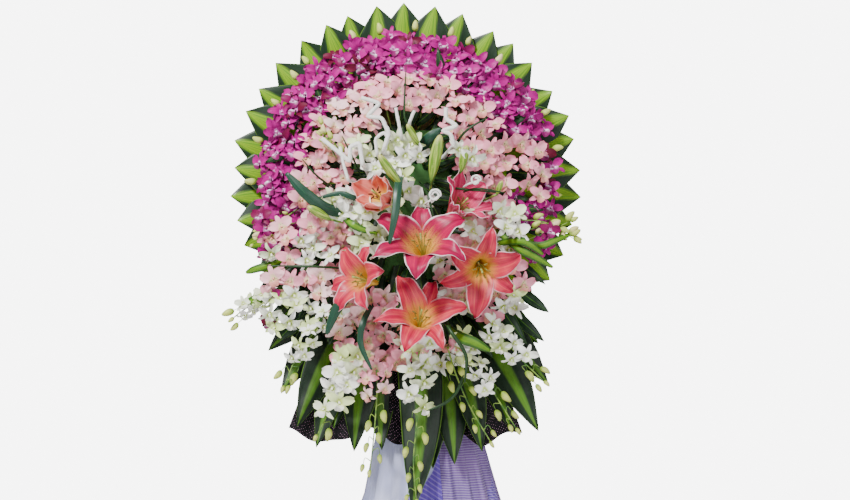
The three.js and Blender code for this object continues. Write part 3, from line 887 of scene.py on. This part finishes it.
def hanging_spray(name, nodes, line, bloom_count, bud_count, size, spread=24, y=-168, petals=WHITE):
    """Blossoms down to the share of the stem that they fill, then buds to the tip."""
    points = [at(x, y + 14 * math.sin(1.2 * i), z) for i, (x, z) in enumerate(line)]
    path = smooth_path(points, STEM_STEPS)
    total = bloom_count + bud_count
    blooms, buds, stems = [], [], [(path, 2.2)]
    for k in range(total):
        share = (k + 0.3) / total
        spot = path[min(int(share * STEM_STEPS), STEM_STEPS - 1)]
        side = 1 if k % 2 else -1
        down = (path[-1] - path[0]).normalized()
        across = down.cross(FACE).normalized() * side
        if k < bloom_count:
            reach = spread * lerp(1, 0.7, share) * dice.uniform(0.6, 1.1)
            place = spot + (across * reach + FACE * dice.uniform(4, 16)) * MM
            way = FACE + across * dice.uniform(0.1, 1.1) + down * dice.uniform(-0.5, 0.8)
            kind = broad_blossom if dice.random() < 0.4 else slim_blossom
            blooms.append((kind, place, way, size * lerp(1, 0.86, share) * dice.uniform(0.92, 1.06),
                           dice.random()))
            stems.append(([spot, spot.lerp(place, 0.6), place], 1.2))
        else:
            reach = 13 + 4 * math.sin(5 * k)
            elbow = spot + (across * reach * 0.8 - down * 7) * MM
            foot = spot + (across * reach + down * 6) * MM
            length = lerp(30, 17, (k - bloom_count) / max(bud_count, 1))
            buds.append((foot, down + across * 0.2, length, dice.random() * 0.5))
            stems.append((smooth_path([spot, elbow, foot], 6), 1.1))
    buds.append((path[-1], path[-1] - path[-3], 18, 0.2))
    spray_piece(name, nodes, petals, blooms, buds, stems)


hanging_spray("hanging_orchids_1", ["white_spray_far_left"],
              [(-150, 880), (-206, 812), (-240, 760), (-262, 706)], 8, 3, 46, 15)
hanging_spray("hanging_orchids_2", ["white_spray_left"],
              [(-118, 780), (-132, 730), (-150, 680), (-190, 600)], 8, 1, 68, 18)
hanging_spray("hanging_orchids_3", ["white_spray_middle"],
              [(34, 800), (24, 730), (26, 640), (18, 540), (24, 462)], 7, 7, 60, 18)
hanging_spray("hanging_orchids_4", ["white_spray_right"],
              [(116, 810), (150, 750), (192, 690), (240, 614)], 8, 4, 50, 15)
hanging_spray("hanging_orchids_5", ["white_spray_far_right"],
              [(176, 832), (218, 800), (258, 756), (300, 716)], 7, 3, 54, 18)
hanging_spray("hanging_orchids_6", [], [(-62, 740), (-62, 680), (-68, 600), (-76, 524)], 4, 6, 46,
              petals=PINK)
hanging_spray("hanging_orchids_7", [], [(92, 790), (110, 730), (140, 660), (184, 586)], 1, 8, 42,
              petals=PINK)
hanging_spray("hanging_orchids_8", [],
              [(-300, 900), (-330, 884), (-356, 868), (-376, 852)], 7, 2, 44, 14, -124)
print("sprays done")

# %% Bud sprays at the sides
def bud_spray(name, starts, tip, y, length):
    """Thin stems with cream buds that stick out sideways past the ring."""
    buds, stems = [], []
    for start in starts:
        middle = at(lerp(start[0], tip[0], 0.5), y, lerp(start[2], tip[2], 0.55) + 6)
        end = at(tip[0] + dice.uniform(-14, 14), y, tip[2] + dice.uniform(-26, 26))
        path = smooth_path([at(*start), middle, end], 12)
        stems.append((path, 1.6))
        for k in range(3, 12, 2):
            side = Vector((0, 0, 1 if k % 4 == 3 else -1))
            way = (path[-1] - path[0]).normalized() + side * 0.7
            buds.append((path[k] + side * 4 * MM, way, length * dice.uniform(0.75, 1.1), dice.random()))
        buds.append((path[-1], path[-1] - path[-2], length * 0.8, 0.3))
    spray_piece(name, [], WHITE, [], buds, stems)


bud_spray("buds_left", [(-236, -110, 1090), (-228, -110, 1062), (-236, -110, 1030), (-246, -112, 1000)],
          (-322, -128, 1030), -126, 15)
bud_spray("buds_right", [(250, -110, 1040), (262, -112, 1020), (254, -110, 1066)],
          (362, -120, 1044), -126, 26)
bud_spray("buds_top_left", [(-116, -150, 1180), (-150, -150, 1200)],
          (-190, -186, 1262), -184, 22)

# %% [markdown]
# ## Lilies
# The open lilies are the largest flowers: three narrow outer and three broad inner tepals rise from
# a narrow throat and bend back at their tips. They are salmon to hot pink with a crimson midrib, a
# golden throat, dark freckles and a wavy white margin. Every tepal is a finely divided grid, because
# these flowers are what the eye looks at.

# %% Lily finishes
def lily_finish(name, body, deep, rib, freckles, margin, gilt=0.85):
    finish = Finish(name, roughness=0.4, specular_ior_level=0.3)
    across, along = finish.uv()
    away = abs(across - 0.5) * 2
    threads = finish.noise(1, 3, finish.combine(across * 22, along * 2.2), 0.55)
    tone = finish.blend((threads + finish.noise(22, 2) * 0.5 + along * 0.25).band(0.6, 1.1), body, deep)
    middle = (1 - away.band(0.03, 0.2)) * along.band(0.2, 0.4) * (1 - along.band(0.75, 1.0))
    tone = finish.blend(middle * 0.7, tone, rib)
    rays = finish.noise(1, 1, finish.combine(across * 14, 0), 0.5) * 0.24
    gold = (1 - (along + rays).band(0.36, 0.66)) * (1 - away.band(0.45, 1.0) * along.band(0.15, 0.45))
    tone = finish.blend(away.band(0.35, 0.95) * along.band(0.3, 0.6) * 0.75, tone, deep)
    tone = finish.blend(gold * gilt, tone, "#f4c84c")
    dots = (finish.noise(420, 1) > 0.64) * along.band(0.22, 0.3) * (1 - along.band(0.5, 0.66)) * freckles
    tone = finish.blend(dots, tone, "#8e1030")
    frill = (away + finish.noise(90, 2) * 0.12).band(0.92, 1.06) * along.band(0.3, 0.6)
    finish.drive("Base Color", finish.blend(frill * margin, tone, "#fff0f2"))
    finish.drive("Roughness", threads * 0.2 + 0.3)
    finish.bump(threads, 0.0009, 0.5)
    return finish.material


hot_lily = lily_finish("hot_lily", "#c8104c", "#9c0044", "#7c0028", 1.0, 0.9)
side_lily = lily_finish("side_lily", "#e85c80", "#c01058", "#a0083c", 0.0, 0.8, 0.15)
salmon_lily = lily_finish("salmon_lily", "#e25854", "#b80c40", "#9c0830", 0.25, 0.6)
apricot_lily = lily_finish("apricot_lily", "#f09a84", "#e46c64", "#d04c44", 0.1, 0.6, 1.0)


def plain_finish(name, low, high, scale, rough):
    finish = Finish(name, roughness=rough)
    grain = finish.noise(scale, 3)
    finish.drive("Base Color", finish.blend(grain.band(0.35, 0.65), low, high))
    finish.drive("Roughness", grain * 0.2 + (rough - 0.1))
    finish.bump(grain, 0.0004, 0.4)
    return finish.material


filament = plain_finish("filament", "#7c8a3a", "#b4b862", 80, 0.5)
anther = plain_finish("anther", "#3c130c", "#6a2410", 600, 0.9)
faded_anther = plain_finish("faded_anther", "#5c5220", "#8a7a30", 600, 0.9)

# %% Lily flowers
# How a tepal runs, as (distance from the axis, height) in mm for a flower of 76 mm radius: open, partly
# open and still cupped.
LINE_RADIUS = 76
LINE_STEPS = 60
OPEN_LINE = [(3, 0), (9, 30), (19, 56), (38, 78), (62, 90), (82, 90), (98, 80)]
PART_LINE = [(3, 0), (10, 30), (20, 56), (36, 80), (52, 100), (66, 116), (74, 122)]
CUP_LINE = [(3, 0), (16, 22), (30, 44), (42, 68), (48, 92), (46, 108)]


def lily(name, node, finish, spot, turn, lift, roll, radius, root, line=OPEN_LINE, wide=1.0,
         stamens=(15, 76), pollen=faded_anther):
    """An open lily whose mouth is centred on spot and faces the front, turned right and lifted."""
    scale = radius / LINE_RADIUS
    turn, lift = math.radians(turn), math.radians(lift)
    face = Vector((math.sin(turn) * math.cos(lift), -math.cos(turn) * math.cos(lift), math.sin(lift)))
    depth = (58 + radius * 0.5) * MM
    base = at(*spot) - face * depth
    matrix = facing(base, face, math.radians(roll))
    bm = bmesh.new()
    profile = smooth_path([Vector((r, 0, z)) for r, z in line], LINE_STEPS)
    local = random.Random(name)
    for k in range(6):
        inner = k % 2
        a = math.radians(60 * k + local.uniform(-8, 8))
        half = (31 if inner else 23) * wide
        tilt = local.uniform(-0.12, 0.1)
        phase = local.uniform(0, 6)
        bend = local.uniform(-9, 9)
        curl = local.uniform(-10, 6)

        def shape(u, t):
            i = min(int(t * LINE_STEPS), LINE_STEPS - 1)
            centre = profile[i].lerp(profile[i + 1], t * LINE_STEPS - i)
            ahead = (profile[i + 1] - profile[max(i - 1, 0)]).normalized()
            inward = Vector((-ahead.z, 0, ahead.x))
            width = half * lerp(0.16, 1, smooth(t / 0.46))
            width *= max(1 - max(0, (t - 0.42) / 0.58) ** 1.9, 0.0001)
            cup = 0.3 * abs(u) ** 2 * width * (1 - 0.6 * t) - 2.2 * math.exp(-(u * 5) ** 2) * t
            frill = 4.6 * math.sin(19 * t + phase + 1.5 * u) * u * u * smooth(t * 2 - 0.5) + curl * t ** 3
            spot_at = centre * (1 + tilt * t) + inward * (cup + frill - (0 if inner else 2.5))
            spot_at.y += u * width + bend * t * t
            if k in (0, 3):
                spot_at.z -= 3 * t
            return Matrix.Rotation(a, 3, "Z") @ spot_at * (scale * MM)

        strip(bm, 14, 40, shape)
    for k in range(6):
        a = math.radians(60 * k + 30)
        out = Vector((math.cos(a), math.sin(a), 0))
        tip = out * stamens[0] + Vector((0, 0, stamens[1]))
        path = smooth_path([Vector((0, 0, 12)), out * 6 + Vector((0, 0, 48)), tip], 10)
        tube(bm, [point * scale * MM for point in path], 0.9 * MM, 6, 1, 0.8)
        head = (Matrix.Translation(tip * scale * MM) @ Matrix.Rotation(a, 4, "Z")
                @ Matrix.Rotation(1.2, 4, "Y") @ Matrix.Diagonal((1.5 * MM, 1.5 * MM, 5.5 * MM, 1)))
        made = bmesh.ops.create_uvsphere(bm, u_segments=8, v_segments=6, radius=1, matrix=head)
        for pollen_face in {face for vert in made["verts"] for face in vert.link_faces}:
            pollen_face.material_index = 2
            pollen_face.smooth = True
    tube(bm, [Vector((0, 0, z)) * scale * MM for z in (8, 40, 70, 96)], 1.5 * MM, 8, 1, 1.3)
    bmesh.ops.transform(bm, matrix=matrix, verts=bm.verts)
    start = at(root[0], FOAM_FRONT, root[1])
    tube(bm, smooth_path([start, start.lerp(base, 0.5) + FACE * 0.01, base], 10), 3.2 * MM, 8, 3)
    print(name, len(bm.faces), "faces")
    piece(name, bm, [finish, filament, pollen, green_stem], [node], 0.7 * MM)


lily("lily_flower_main", "lily_main", hot_lily, (34, -256, 1030), -6, 38, 96, 86, (22, 1030))
lily("lily_flower_bottom", "lily_bottom", salmon_lily, (36, -246, 872), 6, 32, 66, 76, (30, 952))
lily("lily_flower_right", "lily_right", salmon_lily, (166, -236, 952), 4, -14, 84, 76, (82, 975))
lily("lily_flower_left", "lily_left", salmon_lily, (-120, -224, 944), -42, 10, 70, 62, (-52, 960),
     wide=1.15)
lily("lily_flower_half_open", "lily_half_open", apricot_lily, (-78, -238, 1134), -34, 26, 100, 58,
     (-30, 1120), CUP_LINE, 1.45, (15, 78), anther)
lily("lily_flower_side", "lily_side", side_lily, (138, -206, 1114), 42, 34, 90, 70, (64, 1060),
     PART_LINE)

# %% [markdown]
# ## Lily buds and straps
# A closed lily bud is a long three-ridged spindle, lime green with paler grooves. The straps are the
# lily's own narrow leaves, blue-green with a bloom on them, and the thin blades are grass.

# %% Lily buds
def lily_bud_finish():
    finish = Finish("lily_bud_skin", roughness=0.38)
    across, along = finish.uv()
    groove = finish.noise(1, 2, finish.combine(across * 14, along * 1.6), 0.5)
    tone = finish.blend(groove.band(0.42, 0.6), "#5c821c", "#a0b44c")
    tone = finish.blend(along.band(0.8, 1.0), tone, "#b8b468")
    finish.drive("Base Color", finish.blend(1 - along.band(0.0, 0.25), tone, "#3f6a18"))
    finish.drive("Roughness", groove * 0.2 + 0.3)
    finish.bump(groove, 0.001, 0.5)
    return finish.material


lily_bud_skin = lily_bud_finish()


def lily_bud(name, node, foot, tip, radius, root):
    """A spindle from foot to tip with three soft ridges, on a stem from the foam."""
    bm = bmesh.new()
    uv = bm.loops.layers.uv.verify()
    bmesh.ops.create_uvsphere(bm, u_segments=24, v_segments=22, radius=1)
    for vert in bm.verts:
        t = (vert.co.z + 1) / 2
        turn = math.atan2(vert.co.y, vert.co.x)
        girth = 1 + 0.13 * math.cos(3 * turn) * math.sin(math.pi * t)
        swell = (0.5 + 0.62 * t ** 0.7) * (1 - 0.12 * t)
        vert.co.x *= girth * swell * radius * MM
        vert.co.y *= girth * swell * radius * MM
    for face in bm.faces:
        face.smooth = True
        for loop in face.loops:
            turn = math.atan2(loop.vert.co.y, loop.vert.co.x) / math.tau + 0.5
            loop[uv].uv = (turn, (loop.vert.co.z + 1) / 2)
    a, b = at(*foot), at(*tip)
    half = (b - a).length / 2
    place = facing(a.lerp(b, 0.5), b - a) @ Matrix.Diagonal((1, 1, half, 1))
    bmesh.ops.transform(bm, matrix=place, verts=bm.verts)
    start = at(root[0], FOAM_FRONT, root[1])
    stem = smooth_path([start, start.lerp(a, 0.6) + FACE * 0.012, a.lerp(b, 0.08)], 10)
    tube(bm, stem, 2.6 * MM, 8, 1)
    piece(name, bm, [lily_bud_skin, green_stem], [node] if node else ())


lily_bud("closed_bud_tall", "lily_bud_tall", (56, -206, 1145), (76, -214, 1248), 15, (52, 1100))
lily_bud("closed_bud_small", "lily_bud_small", (120, -196, 1166), (134, -204, 1226), 11, (88, 1138))
lily_bud("closed_bud_slant", "lily_bud_slant", (-6, -224, 1134), (-56, -236, 1204), 12, (-4, 1096))
lily_bud("closed_bud_left", "lily_bud_left", (-158, -200, 1064), (-210, -208, 1094), 11, (-90, 1050))
lily_bud("young_bud", None, (34, -190, 1222), (4, -200, 1272), 9, (40, 1180))
lily_bud("side_bud", None, (198, -186, 1118), (210, -192, 1150), 7, (100, 1080))

# %% Straps and grass
def strap(bm, points, half, lean=0.25, sides=8, along=30):
    """A narrow leaf along a path, facing the front, folded a little and pointed at both ends."""
    path = smooth_path([at(*point) for point in points], along)

    def shape(u, t):
        i = round(t * along)
        ahead = (path[min(i + 1, along)] - path[max(i - 1, 0)]).normalized()
        across = ahead.cross(FACE).normalized()
        width = half * math.sin(math.pi * min(0.06 + 0.92 * t, 0.999)) ** 0.5 * MM
        return path[i] + across * (u * width) - FACE * (abs(u) * width * lean)

    strip(bm, sides, along, shape)


bm = bmesh.new()
for points, half in [
    ([(-80, -120, 1080), (-160, -190, 1086), (-212, -214, 1120), (-256, -206, 1166)], 13),
    ([(-4, -150, 1180), (-14, -236, 1142), (-20, -262, 1080), (-33, -266, 1012)], 9),
    ([(20, -120, 1190), (46, -190, 1236), (78, -196, 1262)], 12),
    ([(-100, -120, 960), (-128, -188, 900), (-150, -196, 868), (-170, -190, 818)], 12),
    ([(-60, -120, 900), (-88, -196, 850), (-96, -200, 800), (-72, -204, 742)], 7),
    ([(-40, -120, 1130), (-100, -190, 1112), (-140, -196, 1122), (-190, -190, 1112)], 6),
]:
    strap(bm, points, half)
piece("strap_leaves", bm, [strap_leaf], (), 0.8 * MM)

bm = bmesh.new()
for points, half in [
    ([(90, -140, 1200), (128, -206, 1253), (178, -206, 1286)], 2.6),
    ([(110, -140, 1120), (153, -206, 1132), (214, -196, 1124)], 2.2),
    ([(70, -150, 880), (96, -250, 830), (130, -244, 775), (128, -230, 716)], 4.0),
    ([(126, -200, 730), (110, -196, 692), (84, -190, 668), (46, -186, 652)], 3.4),
    ([(-130, -140, 960), (-200, -186, 964), (-300, -166, 966)], 2.6),
    ([(-150, -140, 1130), (-190, -196, 1160), (-222, -196, 1196)], 2.2),
    ([(-96, -150, 1160), (-116, -206, 1206), (-136, -206, 1246)], 2.2),
    ([(30, -150, 1150), (48, -216, 1120), (64, -226, 1060)], 2.6),
    ([(-10, -120, 1200), (4, -176, 1262), (-2, -180, 1300), (2, -170, 1400)], 2.4),
    ([(60, -120, 1130), (96, -178, 1134), (140, -186, 1130), (210, -180, 1124)], 2.6),
]:
    strap(bm, points, half, 0.2, 2, 26)
piece("grass_blades", bm, [dark_leaf], (), 0.7 * MM)

lime_leaf = leaf_finish("lime_leaf", 0.5, "#6f961c", "#2c5614", "#3c6a1c", 0.15)
bm = bmesh.new()
for points, half in [
    ([(190, -120, 1050), (246, -170, 1004), (284, -162, 984), (322, -146, 962)], 9.0),
    ([(230, -120, 1030), (290, -150, 1010), (330, -146, 1022), (366, -120, 1036)], 8.0),
    ([(180, -120, 1010), (240, -176, 1020), (270, -176, 1012), (300, -160, 990)], 9.0),
    ([(-230, -110, 930), (-290, -130, 902), (-330, -126, 890), (-366, -110, 872)], 12.0),
    ([(-230, -110, 1000), (-290, -120, 970), (-330, -116, 958), (-352, -100, 950)], 9.0),
    ([(-150, -120, 1090), (-120, -186, 1060), (-96, -190, 1046), (-60, -180, 1036)], 8.0),
    ([(96, -150, 830), (120, -206, 812), (150, -206, 800), (184, -190, 782)], 12.0),
]:
    strap(bm, points, half)
piece("lime_leaves", bm, [lime_leaf], (), 0.8 * MM)

# %% [markdown]
# ## Whitened twigs
# Crooked willow twigs were dipped in white flock, which makes them fuzzy. A kinked line of points is
# swept with a round section, and the surface is then pushed about by noise so that it looks furry.

# %% Twigs
def flock_finish():
    finish = Finish("white_flock", roughness=0.95, sheen_weight=0.5, sheen_roughness=0.6)
    fuzz = finish.noise(900, 3)
    finish.drive("Base Color", finish.blend(fuzz.band(0.3, 0.6), "#dcdbd2", "#fdfdfa"))
    finish.bump(fuzz, 0.0015, 0.9)
    return finish.material


white_flock = flock_finish()


def twig(bm, points, radius=5.2):
    """A crooked twig: its kinks stay sharp because each leg gets its own points."""
    path = []
    corners = [at(*point) for point in points]
    for a, b in zip(corners, corners[1:]):
        steps = max(3, round((b - a).length / (5 * MM)))
        path += [a.lerp(b, k / steps) for k in range(steps)]
    path.append(corners[-1])
    soft = [path[0], *[(a + 2 * b + c) / 4 for a, b, c in zip(path, path[1:], path[2:])], path[-1]]
    first = len(bm.verts)
    tube(bm, soft, radius * MM, 10, 0, 0.85)
    bm.verts.ensure_lookup_table()
    for vert in bm.verts[first:]:
        vert.co += noise.noise_vector(vert.co * 260) * 1.1 * MM


def curl(middle, radius, turns, y):
    """A flat spiral of points round a middle place."""
    steps = int(10 * turns)
    points = []
    for k in range(steps + 1):
        reach = radius * (1 - 0.6 * k / steps)
        turn = k / 10 * math.tau
        points.append((middle[0] + reach * math.cos(turn), y, middle[1] + reach * math.sin(turn)))
    return points


bm = bmesh.new()
twig(bm, [(-44, -41, 1180), (-46, -206, 1216), (-34, -212, 1250), (-50, -214, 1284), (-82, -212, 1287),
          (-54, -214, 1315), (-94, -212, 1328)])
twig(bm, [(-70, -60, 1150), (-91, -214, 1184), (-98, -216, 1231), (-118, -214, 1222), (-118, -212, 1189),
          (-140, -212, 1208), (-179, -206, 1240)])
twig(bm, [(-80, -60, 1140), (-122, -214, 1150), (-132, -214, 1184), (-140, -210, 1222)], 3.8)
twig(bm, [(-50, -60, 1190), (-60, -210, 1206), (-64, -212, 1240), (-46, -212, 1253), (-34, -210, 1240)], 4.0)
piece("flocked_twig_left", bm, [white_flock], ["white_twig_left"])

bm = bmesh.new()
twig(bm, [(70, -41, 1190), (106, -204, 1226), (98, -208, 1250), (80, -208, 1257), (113, -210, 1267),
          (88, -208, 1282), (88, -206, 1306)])
twig(bm, [(0, -60, 1200), (-8, -206, 1246), (-14, -208, 1276), (-20, -206, 1306)], 4.2)
twig(bm, [(4, -60, 1220), (10, -206, 1276), (20, -206, 1300)], 4.0)
twig(bm, [(30, -60, 1090), (50, -226, 1104), *curl((64, 1117), 14, 1.5, -236)], 2.4)
twig(bm, [(100, -60, 1120), (136, -210, 1142), *curl((152, 1150), 12, 1.3, -214)], 2.4)
piece("flocked_twig_right", bm, [white_flock], ["white_twig_right"])

# %% [markdown]
# ## Black glitter net
# Behind the lower leaves hangs an apron of black net with fine glitter dots. It is one sheet with a
# scalloped edge. Its holes are so fine that it looks closed, so the material is only a trace clearer
# between the threads, and the glitter sits on the knots.

# %% Net
NET_TOP, NET_BOTTOM = 905, 588
NET_HALF_TOP, NET_HALF_BOTTOM = 150, 258
NET_CELLS = (74, 46)  # diamonds across and along
HOLE_CLEARNESS = 0.002


def net_finish():
    finish = Finish("glitter_net", roughness=0.6, specular_ior_level=0.1)
    across, along = finish.uv()
    rising = (across * NET_CELLS[0] + along * NET_CELLS[1]).math("FRACT")
    falling = (across * NET_CELLS[0] - along * NET_CELLS[1]).math("FRACT")
    hole = (abs(rising - 0.5) < 0.33) * (abs(falling - 0.5) < 0.33)
    knot = (abs(rising - 0.5) > 0.4) * (abs(falling - 0.5) > 0.4)
    glitter = knot * (finish.noise(300, 1) > 0.46)
    finish.drive("Base Color", finish.blend(glitter, "#0a080d", "#c79ab8"))
    finish.drive("Roughness", 0.6 - glitter * 0.35)
    finish.drive("Alpha", 1 - hole * HOLE_CLEARNESS)
    return finish.material


def net_shape(u, t):
    down = 1 - t
    z = lerp(NET_TOP, NET_BOTTOM, down) + (6 * math.sin(17 * u) - 14 * math.cos(3 * math.pi * u)) * down
    ripple = 5 * math.sin(23 * u + 2 * down) * down
    return at(u * lerp(NET_HALF_TOP, NET_HALF_BOTTOM, down), apron_y(z) + ripple, z)


bm = bmesh.new()
strip(bm, 90, 40, net_shape)
net = piece("glitter_net", bm, [net_finish()], ["black_net"])
net_slant = math.hypot(NET_TOP - NET_BOTTOM, apron_y(NET_TOP) - apron_y(NET_BOTTOM))

# %% [markdown]
# ## The skirt
# The stand is dressed with thin cloth, tied under the head and flaring to the floor. The left front is
# pale lavender, and the right front and the back are purple with fine crinkled ribs. Low down, both
# front panels turn violet with fine pale hatching. Each panel is cut as a wide wedge. Its folds are
# shallow at the top and deep at the hem. They go inwards only away from the legs, and they die out at
# the panel's edges, where it overlaps the next one.

# %% Skirt panels
SKIRT = [  # height, middle (x, y) and half-widths (a, b) across and deep, from the hem up, in mm
    (4, 42, 24, 318, 300),
    (225, 50, 16, 228, 200),
    (450, 56, 8, 150, 118),
    (640, 48, 0, 106, 76),
    (745, 36, 4, 64, 52),
]
LEG_ANGLES = (-135, -45, 90)  # where the stand's legs run just inside the cloth, in degrees
LEG_SPREAD = 13
EDGE_SHARE = 0.1  # how much of a panel's half-width its folds take to die out
COLUMNS_PER_DEGREE = 1.3


def skirt_row(height):
    """The outline at a height, between the rows above and below it."""
    for low, high in zip(SKIRT, SKIRT[1:]):
        if height <= high[0]:
            t = (height - low[0]) / (high[0] - low[0])
            return [lerp(p, q, t) for p, q in zip(low[1:], high[1:])]
    return SKIRT[-1][1:]


def skirt_panel(name, node, finish, start, end, folds, inset):
    """One panel between two directions seen from above; 0 is +X and -90 the front."""

    def shape(u, t):
        height = lerp(SKIRT[0][0], SKIRT[-1][0], t)
        x, y, a, b = skirt_row(height)
        turn = lerp(start, end, (u + 1) / 2)
        angle = math.radians(turn)
        depth = (1 - t) ** 1.2 * 11 + 2.0
        swing = math.sin(folds * angle + 1.1 * math.sin(3 * t + angle))
        fold = depth * (swing + 0.3 * math.sin(2.3 * folds * angle))
        clear = 1 - max(math.exp(-((turn - leg) / LEG_SPREAD) ** 2) for leg in LEG_ANGLES)
        crease = 1.2 * noise.noise(Vector((6 * angle, 7 * t, 3)))
        calm = smooth((1 - abs(u)) / EDGE_SHARE)
        outward = (max(fold, 0) + min(fold, 0) * clear + crease) * calm - inset
        return at(x + math.cos(angle) * (a + outward), y + math.sin(angle) * (b + outward), height)

    bm = bmesh.new()
    strip(bm, round((end - start) * COLUMNS_PER_DEGREE), 70, shape)
    area = sum(face.calc_area() for face in bm.faces)
    panel = piece(name, bm, [finish], [node])
    slant = sum((shape(0, k / 20) - shape(0, (k + 1) / 20)).length for k in range(20))
    round(2 * area / slant, 3)
    print(name, "area", round(area, 3), "slant", round(slant, 3))


RIB_RATE = 1150  # crinkled ribs, in radians per metre of height
HATCH_RATE = 560


def cloth_finish(name, light, dark, rib, flare=None, flare_from=0.0):
    """Thin cloth with a weave and ribs; a flare colour may start low down, beyond a share across."""
    finish = Finish(name, roughness=0.6, sheen_weight=0.2, sheen_roughness=0.35)
    across, along = finish.uv()
    place = finish.node("ShaderNodeSeparateXYZ", inputs=[finish.place()])
    height = Value(finish, place.socket.node.outputs[2])
    soft = finish.noise(7, 3)
    tone = finish.blend(soft.band(0.35, 0.65), light, dark)
    if flare:
        boundary = (height + (soft - 0.5) * 0.04).band(0.36, 0.54) * (0.95 - flare_from) + flare_from
        hatch = (height * HATCH_RATE + across * 90).math("SINE") * 0.5 + 0.5
        hatched = finish.blend(hatch.band(0.6, 0.9) * 0.4, flare, "#a08cd8")
        tone = finish.blend((across - boundary).band(-0.01, 0.015), tone, hatched)
    wave = finish.noise(5, 1) * 9 + finish.noise(26, 2) * 2.2
    ribs = (height * RIB_RATE + wave).math("SINE") * 0.5 + 0.5
    tone = finish.blend(ribs.band(0.62, 0.95) * rib, tone, "#c9bfe0")
    weave = finish.noise(1, 2, finish.combine(across * 900, along * 1400))
    finish.drive("Base Color", finish.blend(weave * 0.1, tone, "#f4f2fb"))
    finish.drive("Roughness", weave * 0.2 + 0.5)
    finish.bump(weave * 0.4 + ribs * rib, 0.0008, 0.4)
    return finish.material


pale_cloth = cloth_finish("pale_cloth", "#d2d6f4", "#b0b6e2", 0.0, "#4c16a8", 0.36)
purple_cloth = cloth_finish("purple_cloth", "#74489c", "#583088", 0.4, "#4a149c", 0.4)
back_cloth = cloth_finish("back_cloth", "#74489c", "#583088", 0.4)
skirt_panel("skirt_left_cloth", "skirt_front_left", pale_cloth, -176, -80, 17, 0.5)
skirt_panel("skirt_right_cloth", "skirt_front_right", purple_cloth, -84, -4, 19, 1.5)
skirt_panel("skirt_back_cloth", "skirt_back", back_cloth, -10, 190, 16, 3.0)
